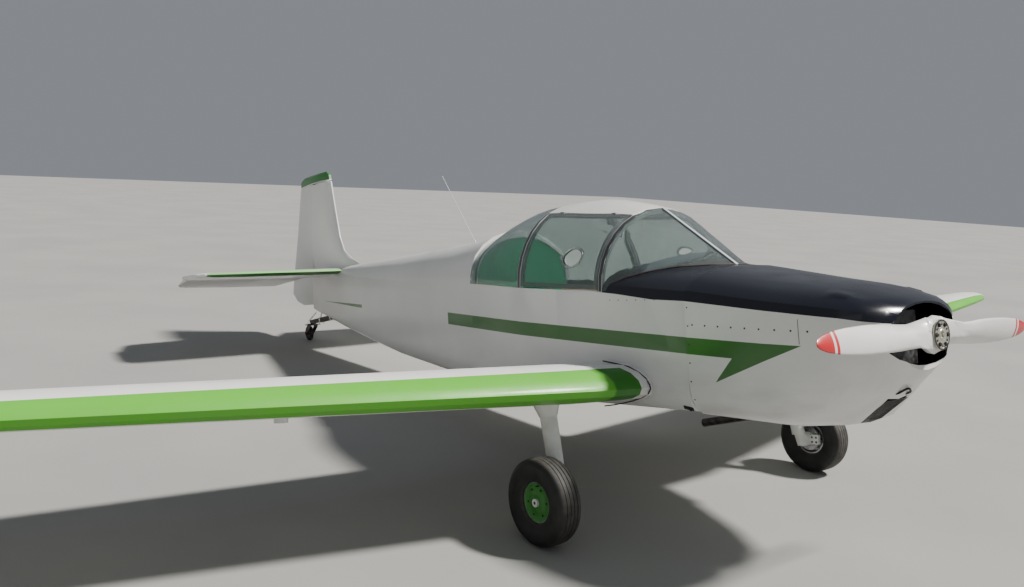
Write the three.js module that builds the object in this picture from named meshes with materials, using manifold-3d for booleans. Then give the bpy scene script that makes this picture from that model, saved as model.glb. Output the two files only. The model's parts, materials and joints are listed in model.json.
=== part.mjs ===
// Light aircraft: two-seat, low-wing, tail-wheel tourer standing on its gear.
//
// Millimetres, +Z up, nose towards -Y, starboard wing towards -X, ground at z = 0.
// The airframe is drawn level, in its own axes: x across, s aft of the propeller hub's
// front face (y of the group) and w up from the thrust line (z of the group). One group
// then tips it nose-up into the attitude in which it parks.
import * as THREE from "three";
import { mergeVertices } from "three/addons/utils/BufferGeometryUtils.js";
import Module from "manifold-3d";

const wasm = await Module();
wasm.setup();

// Driving dimensions
const GROUND_ANGLE = 10; // degrees, thrust line to the ground
const HUB_HEIGHT = 1210; // propeller axis above the ground
const SEAT_GAP = 0.3; // between pieces that touch
const RUNNING_GAP = 6; // between a moving surface and its neighbour

const FIREWALL_S = 1030;
const PANEL_S = 1560; // instrument panel
const FRONT_ARCH_S = 1635;
const REAR_ARCH_S = 2370;
const CABIN_END_S = 3000;
const STERN_S = 6380;
const ARCH_WIDTH = 30;
const WALL = 28; // fuselage side and floor
const GLASS = 5;

// Wing, in its own axes: x along the span, s aft and w up from the centreline's leading edge
const WING_LEADING = [1074, -267]; // [s, w]
const WING_CHORD = 1358; // at the centreline
const WING_SWEEP = 0.21; // leading edge, aft per mm of span
const WING_TAPER = 0.111; // chord lost per mm of span
const WING_KNEE = 950; // the leading edge runs straight across inboard of here
const WING_INCIDENCE = 1.6; // degrees to the thrust line
const WING_DIHEDRAL = 3.4;
const WING_THICKNESS = 0.168; // of the chord
const WING_ROOT_X = 530;
// Inner and outer end, and the hinge's distance aft of the wing's origin at each
const FLAP = { span: [690, 2380], hinge: [1131, 1343] };
const AILERON = { span: [2420, 4480], hinge: [1348, 1597] };
const FILLET_FLARE = 14;
// Picketing pad under each wing
const PAD = { x: 2300, aft: 330, w: 78, radius: 32, depth: 12 };

const TAIL_HINGE_S = 6310; // elevator hinge
const TAIL_W = 600;
const TAIL_THICKNESS = 74;
const ELEVATOR_DROOP = 12; // degrees, stick forward as it parks
const RUDDER_HINGE = { top: [6312, 1512], bottom: [6412, 290] }; // [s, w]
const RUDDER_FOOT_W = 300; // underside of the rudder

const WHEEL_TRACK = 2280;
const WHEEL_AXLE = [1469, -747]; // [s, w]
const TYRE_DIAMETER = 438;
const TYRE_WIDTH = 150;
const RIM_DIAMETER = 200;
const LEG_X = 1012;
const LEG_TOP = [1562, -290];
const LEG_DIAMETER = 90;
const TAILWHEEL_DIAMETER = 150;
const TAILWHEEL_WIDTH = 48;
const TAILWHEEL_Y = 6507; // contact point aft of the hub, along the ground

const PROP_TILT = 1.45; // degrees, as it stopped
const PROP_S = 44; // blade centre plane

// Fuselage lines: s, half width, bottom w, shoulder w, crown w
const HULL_LINES = [
  [1030, 530, -363, 200, 368],
  [1300, 531, -363, 222, 410],
  [1635, 531, -363, 272, 425],
  [2000, 531, -363, 298, 430],
  [2370, 526, -363, 322, 430],
  [2680, 490, -346, 350, 430],
  [3000, 449, -310, 374, 735],
  [3400, 398, -258, 396, 694],
  [4300, 284, -150, 440, 670],
  [5000, 195, -32, 480, 657],
  [5600, 118, 80, 520, 645],
  [6050, 65, 178, 540, 640],
  [6380, 42, 252, 548, 636],
];
// Cowl lines: s, half width, belly w, colour line w, crown w, fullness of the lower half
const COWL_LINES = [
  [88, 254, -158, 40, 152, 2.1],
  [115, 312, -195, 66, 168, 1.8],
  [170, 378, -233, 88, 190, 2],
  [260, 427, -322, 100, 220, 2.2],
  [380, 461, -417, 116, 248, 3.1],
  [600, 508, -432, 146, 286, 3.8],
  [1026, 536, -392, 202, 372, 7],
];
// Canopy lines: s, half width at the sill, sill w, roof edge x, roof edge w, crown w
const CANOPY_LINES = [
  [1600, 531, 270, 226, 680, 722],
  [1635, 531, 272, 230, 702, 748],
  [2000, 531, 298, 246, 745, 836],
  [2370, 526, 322, 258, 786, 850],
  [2680, 490, 350, 250, 752, 824],
  [3000, 449, 374, 232, 662, 742],
];
// Rounded wing tip: x, leading edge cut back, trailing edge cut forward
const WING_TIP = [
  [4600, 0, 0],
  [4900, 2, 26],
  [5110, 10, 90],
  [5215, 34, 176],
  [5262, 96, 276],
];
// Tailplane outline: x, leading edge s, hinge-line half thickness share, trailing edge s
const TAIL_OUTLINE = [
  [0, 5625, 1, 6740],
  [900, 5662, 0.86, 6700],
  [1250, 5690, 0.72, 6660],
  [1330, 5740, 0.6, 6630],
  [1362, 5830, 0.45, 6560],
];

const rad = THREE.MathUtils.degToRad;
const lerp = THREE.MathUtils.lerp;
const clamp = THREE.MathUtils.clamp;

// A row of a lines table at station s, by a smooth curve through each column
function rowAt(table, s) {
  const last = table.length - 1;
  let i = 0;
  while (i < last - 1 && s > table[i + 1][0]) i += 1;
  const [a, b] = [table[i], table[i + 1]];
  const before = table[Math.max(i - 1, 0)];
  const after = table[Math.min(i + 2, last)];
  const t = clamp((s - a[0]) / (b[0] - a[0]), 0, 1);
  return a.map((_, c) => {
    const gap = b[0] - a[0];
    const slopeA = i === 0 ? (b[c] - a[c]) / gap : (b[c] - before[c]) / (b[0] - before[0]);
    const slopeB = i === last - 1 ? (b[c] - a[c]) / gap : (after[c] - a[c]) / (after[0] - a[0]);
    return (
      (2 * t ** 3 - 3 * t ** 2 + 1) * a[c] +
      (t ** 3 - 2 * t ** 2 + t) * gap * slopeA +
      (3 * t ** 2 - 2 * t ** 3) * b[c] +
      (t ** 3 - t ** 2) * gap * slopeB
    );
  });
}

// Numbers from a to b in equal steps
function steps(a, b, count) {
  return Array.from({ length: count + 1 }, (_, i) => lerp(a, b, i / count));
}

// Closed solids
function solidFromTriangles(points, triangles) {
  const vertProperties = new Float32Array(points.flat());
  const build = (tri) => new wasm.Manifold(new wasm.Mesh({ numProp: 3, vertProperties, triVerts: tri }));
  const solid = build(new Uint32Array(triangles));
  if (solid.volume() > 0) return solid;
  const turned = [];
  for (let i = 0; i < triangles.length; i += 3)
    turned.push(triangles[i], triangles[i + 2], triangles[i + 1]);
  return build(new Uint32Array(turned));
}

function solidFromGeometry(geometry) {
  const bare = geometry.clone();
  bare.deleteAttribute("normal");
  bare.deleteAttribute("uv");
  const merged = mergeVertices(bare, 1e-3);
  return new wasm.Manifold(
    new wasm.Mesh({
      numProp: 3,
      vertProperties: new Float32Array(merged.attributes.position.array),
      triVerts: new Uint32Array(merged.index.array),
    }),
  );
}

function geometryFromSolid(solid) {
  const mesh = solid.getMesh();
  return new THREE.BufferGeometry()
    .setAttribute("position", new THREE.BufferAttribute(new Float32Array(mesh.vertProperties), 3))
    .setIndex(new THREE.BufferAttribute(new Uint32Array(mesh.triVerts), 1));
}

// Joins rings of [x, s, w] points, each ring a closed loop with as many points as the next
function loft(rings) {
  const count = rings[0].length;
  const triangles = [];
  for (let r = 0; r < rings.length - 1; r += 1)
    for (let i = 0; i < count; i += 1) {
      const j = (i + 1) % count;
      const [a, b, c, d] = [r * count + i, r * count + j, (r + 1) * count + j, (r + 1) * count + i];
      triangles.push(a, b, c, a, c, d);
    }
  const lastRing = rings[rings.length - 1];
  const shift = (rings.length - 1) * count;
  for (const [a, b, c] of endTriangles(rings[0])) triangles.push(a, c, b);
  for (const [a, b, c] of endTriangles(lastRing)) triangles.push(shift + a, shift + b, shift + c);
  return solidFromTriangles(rings.flat(), triangles);
}

// Triangles that close a ring, turning the same way as its points
function endTriangles(ring) {
  const extent = [0, 1, 2].map((k) => {
    const values = ring.map((v) => v[k]);
    return Math.max(...values) - Math.min(...values);
  });
  const thinnest = extent.indexOf(Math.min(...extent));
  const [p, q] = [0, 1, 2].filter((k) => k !== thinnest);
  const flat = ring.map((v) => new THREE.Vector2(v[p], v[q]));
  const found = THREE.ShapeUtils.triangulateShape(flat, []);
  const [i, j, k] = found[0];
  const { area } = THREE.ShapeUtils;
  const sameWay = area([flat[i], flat[j], flat[k]]) > 0 === area(flat) > 0;
  return sameWay ? found : found.map(([a, b, c]) => [a, c, b]);
}

// A curved sheet from a grid of points, thickened from `outside` to `inside` along its normals
function sheet(grid, outside, inside) {
  const rows = grid.length;
  const columns = grid[0].length;
  const at = (r, c) =>
    new THREE.Vector3(...grid[clamp(r, 0, rows - 1)][clamp(c, 0, columns - 1)]);
  const points = [];
  for (const offset of [outside, inside])
    for (let r = 0; r < rows; r += 1)
      for (let c = 0; c < columns; c += 1) {
        const along = at(r + 1, c).sub(at(r - 1, c));
        const across = at(r, c + 1).sub(at(r, c - 1));
        const normal = along.cross(across).normalize();
        points.push(at(r, c).addScaledVector(normal, offset).toArray());
      }
  const id = (layer, r, c) => layer * rows * columns + r * columns + c;
  const triangles = [];
  const quad = (a, b, c, d) => triangles.push(a, b, c, a, c, d);
  for (let r = 0; r < rows - 1; r += 1)
    for (let c = 0; c < columns - 1; c += 1) {
      quad(id(0, r, c), id(0, r + 1, c), id(0, r + 1, c + 1), id(0, r, c + 1));
      quad(id(1, r, c), id(1, r, c + 1), id(1, r + 1, c + 1), id(1, r + 1, c));
    }
  for (let r = 0; r < rows - 1; r += 1) {
    quad(id(0, r, 0), id(1, r, 0), id(1, r + 1, 0), id(0, r + 1, 0));
    const last = columns - 1;
    quad(id(0, r, last), id(0, r + 1, last), id(1, r + 1, last), id(1, r, last));
  }
  for (let c = 0; c < columns - 1; c += 1) {
    quad(id(0, 0, c), id(0, 0, c + 1), id(1, 0, c + 1), id(1, 0, c));
    quad(id(0, rows - 1, c), id(1, rows - 1, c), id(1, rows - 1, c + 1), id(0, rows - 1, c + 1));
  }
  return solidFromTriangles(points, triangles);
}

function boxSolid(low, high) {
  const size = high.map((v, i) => v - low[i]);
  const geometry = new THREE.BoxGeometry(...size);
  geometry.translate(...low.map((v, i) => v + size[i] / 2));
  return solidFromGeometry(geometry);
}

// A round bar between two points, with its own radius at each end
function bar(from, to, radiusFrom, radiusTo = radiusFrom, sides = 16) {
  const [a, b] = [new THREE.Vector3(...from), new THREE.Vector3(...to)];
  const geometry = new THREE.CylinderGeometry(radiusTo, radiusFrom, a.distanceTo(b), sides);
  geometry.applyQuaternion(
    new THREE.Quaternion().setFromUnitVectors(new THREE.Vector3(0, 1, 0), b.clone().sub(a).normalize()),
  );
  geometry.translate(...a.add(b).multiplyScalar(0.5).toArray());
  return solidFromGeometry(geometry);
}

// A side-view outline of [s, w] points, extruded across from x0 to x1
function sidePrism(outline, x0, x1) {
  return loft([x0, x1].map((x) => outline.map(([s, w]) => [x, s, w])));
}

// A turned shape about the x axis from [radius, x] points that start and end on the axis
function turned(profile, centre, segments) {
  const geometry = new THREE.LatheGeometry(
    profile.map(([r, x]) => new THREE.Vector2(r, x)),
    segments,
  );
  geometry.rotateZ(-Math.PI / 2);
  geometry.translate(...centre);
  const solid = solidFromGeometry(geometry);
  if (solid.volume() > 0) return solid;
  return solidFromGeometry(flipped(geometry));
}

function flipped(geometry) {
  const copy = geometry.clone();
  const index = copy.index.array;
  for (let i = 0; i < index.length; i += 3) [index[i + 1], index[i + 2]] = [index[i + 2], index[i + 1]];
  return copy;
}

function mirrored(solid) {
  return solid.mirror([1, 0, 0]);
}

// Materials
function paint(color, roughness = 0.3) {
  return new THREE.MeshStandardMaterial({ color, roughness, metalness: 0 });
}
function metal(color, roughness = 0.4) {
  return new THREE.MeshStandardMaterial({ color, roughness, metalness: 1 });
}
function glazing() {
  const look = { color: 0xcfe0dc, roughness: 0.05, transparent: true, opacity: 0.35 };
  return new THREE.MeshStandardMaterial(look);
}
const whitePaint = paint(0xe6e4df);
const greenPaint = paint(0x2f9a1c);
const darkPaint = paint(0x10101c, 0.2);
const rubber = paint(0x1b1b1c, 0.85);
const cloth = paint(0x4a4c50, 0.9);
const trim = paint(0x1e5e40, 0.8);
const bareMetal = metal(0xb8babc);
const steel = metal(0x55585c, 0.5);

const aircraft = new THREE.Group();
const airframe = new THREE.Group();
aircraft.add(airframe);

function place(name, solid, material, group = airframe) {
  const mesh = new THREE.Mesh(geometryFromSolid(solid), material);
  mesh.name = name;
  group.add(mesh);
  return mesh;
}

// Port is the +x side; each side's solids are drawn there and mirrored for starboard
function placePair(name, solid, material) {
  place(`${name}_left`, solid, material);
  place(`${name}_right`, mirrored(solid), material);
}

// One quarter of a superellipse from the side (1, 0) to the top (0, 1)
function quarter(fullness, count) {
  const power = 2 / fullness;
  return steps(0, 1, count).map((t) => {
    const angle = (t * Math.PI) / 2;
    return [t === 1 ? 0 : Math.cos(angle) ** power, t === 0 ? 0 : Math.sin(angle) ** power];
  });
}

// Cross-section ring: a lower half of given fullness and an elliptical upper half
function bodyRing(s, halfWidth, bottom, shoulder, crown, lowerFullness, upperFullness) {
  const [depth, height] = [shoulder - bottom, crown - shoulder];
  const lower = quarter(lowerFullness, RING_STEPS).map(([x, w]) => [x * halfWidth, shoulder - w * depth]);
  const upper = quarter(upperFullness, RING_STEPS).map(([x, w]) => [x * halfWidth, shoulder + w * height]);
  const portSide = [...lower.slice(1).reverse(), ...upper];
  const starboardSide = portSide
    .slice(1, -1)
    .reverse()
    .map(([x, w]) => [-x, w]);
  return [...portSide, ...starboardSide].map(([x, w]) => [x, s, w]);
}

const RING_STEPS = 6; // in each quarter of a body section
const DECK_FULLNESS = 2.2;
const SLAB_FULLNESS = 14;

function hullRing(s, grow = 0) {
  const [, halfWidth, bottom, shoulder, crown] = rowAt(HULL_LINES, s);
  const [half, low, high] = [halfWidth + grow, bottom - grow, crown + grow];
  return bodyRing(s, half, low, shoulder, high, SLAB_FULLNESS, DECK_FULLNESS);
}

function hullSolid(stations, grow = 0) {
  return loft(stations.map((s) => hullRing(s, grow)));
}

function deckHeight(x, s) {
  const [, halfWidth, , shoulder, crown] = rowAt(HULL_LINES, s);
  const share = Math.min(Math.abs(x) / halfWidth, 1);
  return shoulder + (crown - shoulder) * (1 - share ** DECK_FULLNESS) ** (1 / DECK_FULLNESS);
}

// Below the shoulder line, in side view, from s0 to s1
function belowShoulder(table, column, s0, s1, drop) {
  const line = steps(s0, s1, 8).map((s) => [s, rowAt(table, s)[column] - drop]);
  return sidePrism([...line, [s1, -900], [s0, -900]], -700, 700);
}

const CABIN_STATIONS = [1030, 1300, 1635, 2000, 2370, 2680, 3000];

// The inside of the fuselage's walls, or a little less
function cabinRoom(gap) {
  const stations = [1020, ...CABIN_STATIONS.slice(1, -1), 3010];
  return loft(stations.map((s) => hullRing(s, -WALL - gap)));
}

function buildFuselage() {
  const shell = hullSolid(CABIN_STATIONS).subtract(cabinRoom(0));
  place("fuselage_tub", shell.intersect(belowShoulder(HULL_LINES, 3, 1000, 3020, 0)), whitePaint);

  const above = belowShoulder(HULL_LINES, 3, 1000, 3020, -SEAT_GAP);
  const deckEnd = FRONT_ARCH_S - ARCH_WIDTH / 2 - SEAT_GAP;
  const deckSpan = boxSolid([-600, FIREWALL_S - 1, -900], [600, deckEnd, 900]);
  place("front_deck", shell.subtract(above).intersect(deckSpan), darkPaint);

  const sternStations = [CABIN_END_S + SEAT_GAP, 3400, 4300, 5000, 5600, 6050, STERN_S];
  const rear = hullSolid(sternStations)
    .subtract(tailplaneSolid(SEAT_GAP))
    .subtract(finSolid(SEAT_GAP))
    .subtract(rudderRoom());
  const pinEnd = ELEVATOR_INNER.hinge - SEAT_GAP;
  const pin = bar([-pinEnd, TAIL_HINGE_S, TAIL_W], [pinEnd, TAIL_HINGE_S, TAIL_W], 9, 9, 12);
  place("rear_fuselage", rear.add(pin).add(rudderFoot()), whitePaint);

  const panelRing = hullRing(CABIN_END_S, -WALL - 12);
  const panelAt = (ds) => panelRing.map(([x, , w]) => [x, CABIN_END_S + ds, w]);
  const rearPanel = loft([-15, -SEAT_GAP].map(panelAt));
  place("cabin_rear_panel", rearPanel, trim);
}

function buildFirewall() {
  const plate = loft([1026.6, 1029.7].map((s) => hullRing(1030, -14).map(([x, , w]) => [x, s, w])));
  place("firewall", plate, bareMetal);
}

// Cowl
function cowlRing(s, grow = 0) {
  const [, halfWidth, belly, line, crown, fullness] = rowAt(COWL_LINES, s);
  return bodyRing(s, halfWidth + grow, belly - grow, line, crown + grow, fullness, 2.3);
}

const COWL_WALL = 10;
const MOUTH = { halfWidth: 298, halfHeight: 140, w: 4 };
const CHIN_INTAKE = { halfWidth: 88, s: [236, 378], w: [-500, -232] };
const HUMP = { x: 290, s: 392, w: 136, radii: [108, 185, 86] };

function cowlSolid() {
  const stations = COWL_LINES.map((row) => row[0]);
  let outer = loft(stations.map((s) => cowlRing(s)));
  for (const side of [-1, 1]) {
    const hump = new THREE.SphereGeometry(1, 14, 8);
    hump.scale(...HUMP.radii);
    hump.translate(side * HUMP.x, HUMP.s, HUMP.w);
    outer = outer.add(solidFromGeometry(hump));
  }
  const inside = loft([98, 120, 260, 390, 1030].map((s) => cowlRing(s, -COWL_WALL)));
  const mouth = new THREE.CylinderGeometry(1, 1, 240, 24);
  mouth.scale(MOUTH.halfWidth, 1, MOUTH.halfHeight);
  mouth.translate(0, 120, MOUTH.w);
  const chin = boxSolid(
    [-CHIN_INTAKE.halfWidth, CHIN_INTAKE.s[0], CHIN_INTAKE.w[0]],
    [CHIN_INTAKE.halfWidth, CHIN_INTAKE.s[1], CHIN_INTAKE.w[1]],
  );
  return outer.subtract(inside).subtract(solidFromGeometry(mouth)).subtract(chin);
}

function buildCowl() {
  const cowl = cowlSolid();
  place("cowl_upper", cowl.subtract(belowShoulder(COWL_LINES, 3, 0, 1026, -SEAT_GAP)), darkPaint);
  place("cowl_lower", cowl.intersect(belowShoulder(COWL_LINES, 3, 0, 1026, 0)), whitePaint);
}

function buildEngine() {
  const crankcase = boxSolid([-110, 190, -140], [110, 1026, 110]);
  const cylinders = boxSolid([-385, 320, -90], [385, 760, 90]);
  const shaft = bar([0, BOSS.depth + SEAT_GAP, 0], [0, 200, 0], 46);
  place("engine_block", crankcase.add(cylinders).add(shaft), steel);
}

// Canopy surface: a point at station s, along the section from the port sill (0) over the
// roof edge (1) to the crown (2), the roof's other edge (3) and the starboard sill (4)
function canopyPoint(s, along) {
  const [, halfWidth, sill, edgeX, edgeW, crown] = rowAt(CANOPY_LINES, s);
  const side = along > 2 ? -1 : 1;
  const t = along > 2 ? 4 - along : along;
  if (t >= 1) {
    const x = edgeX * (2 - t);
    return [side * x, s, crown - (crown - edgeW) * (x / edgeX) ** 2];
  }
  const height = (edgeW - sill) / Math.sqrt(1 - (edgeX / halfWidth) ** 2);
  const angle = t * Math.acos(edgeX / halfWidth);
  return [side * halfWidth * Math.cos(angle), s, sill + height * Math.sin(angle)];
}

function slab(s0, s1, halfWidth = 700) {
  return boxSolid([-halfWidth, s0, -900], [halfWidth, s1, 1200]);
}

// Part of the canopy between stations s0 and s1, standing on the fuselage sill
function canopySheet(s0, s1, count, alongs, outside, inside) {
  const grid = steps(s0 - 25, s1 + 25, count).map((s) => alongs.map((a) => canopyPoint(s, a)));
  const sill = belowShoulder(HULL_LINES, 3, 1000, 3020, -SEAT_GAP);
  return sheet(grid, outside, inside).intersect(slab(s0, s1)).subtract(sill);
}

const WHOLE_ARCH = [...steps(0, 1, 6), ...steps(1, 3, 4).slice(1, -1), ...steps(3, 4, 6)];
const HOLE = { s: 1890, w: 476, along: 74, up: 48, lip: 12 }; // oval hand hole in each door pane

function buildCanopy() {
  const frontArch = [FRONT_ARCH_S - ARCH_WIDTH / 2, FRONT_ARCH_S + ARCH_WIDTH / 2];
  const rearArch = [REAR_ARCH_S - ARCH_WIDTH / 2, REAR_ARCH_S + ARCH_WIDTH / 2];
  place("front_arch", canopySheet(...frontArch, 1, WHOLE_ARCH, 0, -22), bareMetal);
  place("rear_arch", canopySheet(...rearArch, 1, WHOLE_ARCH, 0, -22), bareMetal);
  const [roofFront, roofRear] = [frontArch[1] + SEAT_GAP, rearArch[0] - SEAT_GAP];
  buildRoof(roofFront, roofRear);
  const [glassFront, glassRear] = [rearArch[1] + SEAT_GAP, CABIN_END_S - SEAT_GAP];
  place("rear_window", canopySheet(glassFront, glassRear, 5, WHOLE_ARCH, 0, -GLASS), glazing());
  buildDoors(frontArch[1] + RUNNING_GAP + 3, rearArch[0] - RUNNING_GAP);
  buildWindscreen(frontArch[0] - SEAT_GAP);
}

// Door hinges: knuckles on the straight line along each edge of the roof
const DOOR_HINGE = {
  front: [230, 1635, 702],
  rear: [258, 2370, 786],
  radius: 5.5,
  room: 12,
  centres: [1780, 2220],
  half: 34,
};

function hingeBar(s0, s1, radius) {
  const { front, rear } = DOOR_HINGE;
  const at = (s) => front.map((v, k) => lerp(v, rear[k], (s - front[1]) / (rear[1] - front[1])));
  return bar(at(s0), at(s1), radius, radius, 10);
}

function buildRoof(s0, s1) {
  const { radius, room: swing, centres, half } = DOOR_HINGE;
  let roof = canopySheet(s0, s1, 5, steps(1, 3, 6), 3, -14);
  for (const centre of centres) {
    const room = hingeBar(centre, centre + half + 3, swing);
    const knuckle = hingeBar(centre - half, centre - SEAT_GAP, radius);
    roof = roof.subtract(room).subtract(mirrored(room)).add(knuckle).add(mirrored(knuckle));
  }
  place("roof_panel", roof, whitePaint);
}

const DOOR_BOTTOM = 0.018; // share of the side arc
const DOOR_TOP = 0.985;
const DOOR_BORDER = 24; // width of the door's frame
const SIDE_ARC = 500; // shortest way from the sill to the roof edge

function buildDoors(s0, s1) {
  const whole = canopySheet(s0, s1, 5, steps(DOOR_BOTTOM, DOOR_TOP, 6), 0, -16);
  const window = (gap) => {
    const border = DOOR_BORDER + gap;
    const alongs = steps(DOOR_BOTTOM + border / SIDE_ARC, DOOR_TOP - border / SIDE_ARC, 6);
    return [s0 + border, s1 - border, 5, alongs];
  };
  const opening = canopySheet(...window(0), 12, -30);
  let frame = whole.subtract(opening);
  for (const centre of DOOR_HINGE.centres) {
    const end = centre + DOOR_HINGE.half;
    frame = frame.subtract(hingeBar(centre - DOOR_HINGE.half - 14, centre + 6, DOOR_HINGE.room));
    const leaf = canopySheet(centre + 6, end - 2, 1, [0.955, 0.98, 0.999], 0, -4);
    frame = frame.add(leaf).add(hingeBar(centre + SEAT_GAP, end, DOOR_HINGE.radius));
  }
  placePair("door_frame", frame, bareMetal);
  const oval = (lip) =>
    bar([300, 0, 0], [620, 0, 0], 1, 1, 24)
      .scale([1, HOLE.along + lip, HOLE.up + lip])
      .translate([0, HOLE.s, HOLE.w]);
  const reach = HOLE.along + HOLE.lip + 8;
  const lip = canopySheet(HOLE.s - reach, HOLE.s + reach, 2, steps(0.1, 0.8, 6), 4, -5);
  const pane = canopySheet(...window(SEAT_GAP), -2, -2 - GLASS);
  const glass = pane.add(lip.intersect(oval(HOLE.lip))).subtract(oval(0));
  placePair("door_glass", glass, glazing());
}

// The windscreen's foot: a curve on the front deck from the sill to the centre post
const SCREEN_FOOT = { centre: 1119, side: 1596, power: 1.75, lift: 1.5 };

function screenFoot(x, halfWidth) {
  const s = lerp(SCREEN_FOOT.centre, SCREEN_FOOT.side, (x / halfWidth) ** SCREEN_FOOT.power);
  return [x, s, deckHeight(x, s) + SCREEN_FOOT.lift];
}

function buildWindscreen(archS) {
  const postHalf = 15;
  const deck = hullSolid(CABIN_STATIONS.slice(0, 4), SEAT_GAP);
  const beside = boxSolid([postHalf + SEAT_GAP, 900, -900], [700, archS, 1200]);
  const columns = [...steps(0.012, 1, 5), ...steps(1, 2, 3).slice(1)];
  const grid = columns.map((a) => {
    const top = canopyPoint(archS, a);
    const foot = screenFoot(Math.min(top[0], 531), 531);
    return steps(-0.02, 1.03, 4).map((u) => foot.map((v, k) => lerp(v, top[k], u)));
  });
  const pane = sheet(grid, 0, GLASS).intersect(beside);
  place("windscreen_left", pane.subtract(deck), glazing());
  place("windscreen_right", mirrored(pane).subtract(deck), glazing());

  const [foot, top] = [screenFoot(0, 531), canopyPoint(archS, 2)];
  const postLine = [-0.02, 1.03].map((u) => [lerp(foot[1], top[1], u), lerp(foot[2], top[2], u)]);
  const post = sidePrism(
    [...postLine.map(([s, w]) => [s, w + 6]), ...postLine.reverse().map(([s, w]) => [s, w - 14])],
    -postHalf,
    postHalf,
  );
  place("windscreen_post", post.intersect(slab(900, archS)).subtract(deck), whitePaint);
}

// Cabin fittings
function buildCabin() {
  const room = cabinRoom(SEAT_GAP);
  const panel = room.intersect(boxSolid([-600, PANEL_S - 6, PANEL_LOW], [600, PANEL_S, 600]));
  place("instrument_panel", panel, paint(0x26282b, 0.6));
  buildSeats(room);
  buildSticks(room);
}

const PANEL_LOW = 80; // lower edge of the instrument panel
const SEAT = {
  x: 246,
  halfWidth: 222,
  front: 1930,
  back: 2390,
  floor: -345,
  cushionTop: -130,
  backTop: 330,
  backLean: 150,
  backThick: 110,
};

function buildSeats(room) {
  const { x, halfWidth, front, back, floor, cushionTop, backTop, backLean, backThick } = SEAT;
  const cushion = [
    [front, floor],
    [back, floor],
    [back, cushionTop - 40],
    [back - 30, cushionTop - 40],
    [front + 40, cushionTop],
    [front, cushionTop - 30],
  ];
  const foot = [back - 10, cushionTop - 30];
  const backrest = [
    foot,
    [foot[0] + backThick, foot[1]],
    [foot[0] + backThick + backLean, backTop],
    [foot[0] + backLean + 20, backTop + 14],
    [foot[0] + backLean - 8, backTop - 40],
  ];
  placePair("seat_cushion", sidePrism(cushion, x - halfWidth, x + halfWidth).intersect(room), cloth);
  placePair("seat_back", sidePrism(backrest, x - halfWidth, x + halfWidth).intersect(room), cloth);
}

function buildSticks(room) {
  const [base, knee, grip] = [[246, 1800, -345], [246, 1805, -120], [246, 1850, 60]];
  const foot = bar(base, [base[0], base[1], base[2] + 44], 40, 22, 12);
  const lower = bar(base, knee, 11, 11, 10);
  const upper = bar([knee[0], knee[1], knee[2] - 6], grip, 11, 17, 10);
  placePair("control_stick", foot.add(lower).add(upper).intersect(room), steel);
}

// Wing section: points from the trailing edge over the top to the nose and back below
const SECTION_SHARES = [1, 0.74, 0.5, 0.3, 0.15, 0.06, 0.015];
function thicknessAt(share) {
  const k = share;
  return 5 * (0.2969 * Math.sqrt(k) - 0.126 * k - 0.3516 * k ** 2 + 0.2843 * k ** 3 - 0.1036 * k ** 4);
}
function camberAt(share) {
  const [camber, peak] = [0.021, 0.2];
  return share < peak
    ? camber * (1 - (1 - share / peak) ** 2)
    : camber * (1 - ((share - peak) / (1 - peak)) ** 2);
}
function sectionRing(x, leading, chord, flare) {
  const upper = [];
  const lower = [];
  for (const share of SECTION_SHARES) {
    const half = Math.max(thicknessAt(share) * WING_THICKNESS * chord, 1.6);
    const camber = camberAt(share) * chord;
    upper.push([x, leading + share * chord, camber + half + flare]);
    lower.push([x, leading + share * chord, camber - half - flare * 0.55]);
  }
  upper[0][1] += flare;
  lower[0][1] += flare;
  const nose = [x, leading, 0];
  return [...upper, nose, ...lower.reverse()];
}

// Leading edge and chord at x
function wingAt(x) {
  const [, cutBack, cutForward] = x > WING_TIP[0][0] ? rowAt(WING_TIP, x) : [x, 0, 0];
  const leading = WING_SWEEP * Math.max(x, WING_KNEE) + cutBack;
  const trailing = WING_CHORD + (WING_SWEEP - WING_TAPER) * x - cutForward;
  return [leading, trailing - leading];
}

function wingSolid() {
  const root = [420, WING_ROOT_X + 4, WING_ROOT_X + 22, WING_ROOT_X + 60];
  const stations = [...root, WING_KNEE, ...WING_TIP.map((row) => row[0])];
  const flares = [1, 1, 0.42, 0.1];
  return loft(stations.map((x, i) => sectionRing(x, ...wingAt(x), FILLET_FLARE * (flares[i] ?? 0))));
}

// A flap's or aileron's hinge at x: its place and the radius of the rounded nose about it
function hingeOf({ span, hinge }, x) {
  const [leading, chord] = wingAt(x);
  const s = lerp(hinge[0], hinge[1], (x - span[0]) / (span[1] - span[0]));
  const share = (s - leading) / chord;
  return { point: [x, s, camberAt(share) * chord], radius: thicknessAt(share) * WING_THICKNESS * chord };
}

// Half a circle about the hinge at x, from its top over the front to its bottom
function noseRing(surface, x, grow, count) {
  const { point, radius } = hingeOf(surface, x);
  const reach = radius + grow;
  return steps(Math.PI / 2, (3 * Math.PI) / 2, count).map((t) => [
    x,
    point[1] + reach * Math.cos(t),
    point[2] + reach * Math.sin(t),
  ]);
}

function trailingPiece(surface) {
  const [x0, x1] = surface.span;
  const stations = WING_KNEE > x0 && WING_KNEE < x1 ? [x0, WING_KNEE, x1] : [x0, x1];
  return loft(
    stations.map((x) => {
      const [leading, chord] = wingAt(x);
      const rear = leading + chord;
      return [...noseRing(surface, x, 0, 6), [x, rear, -1.6], [x, rear, 1.6]];
    }),
  );
}

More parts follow.
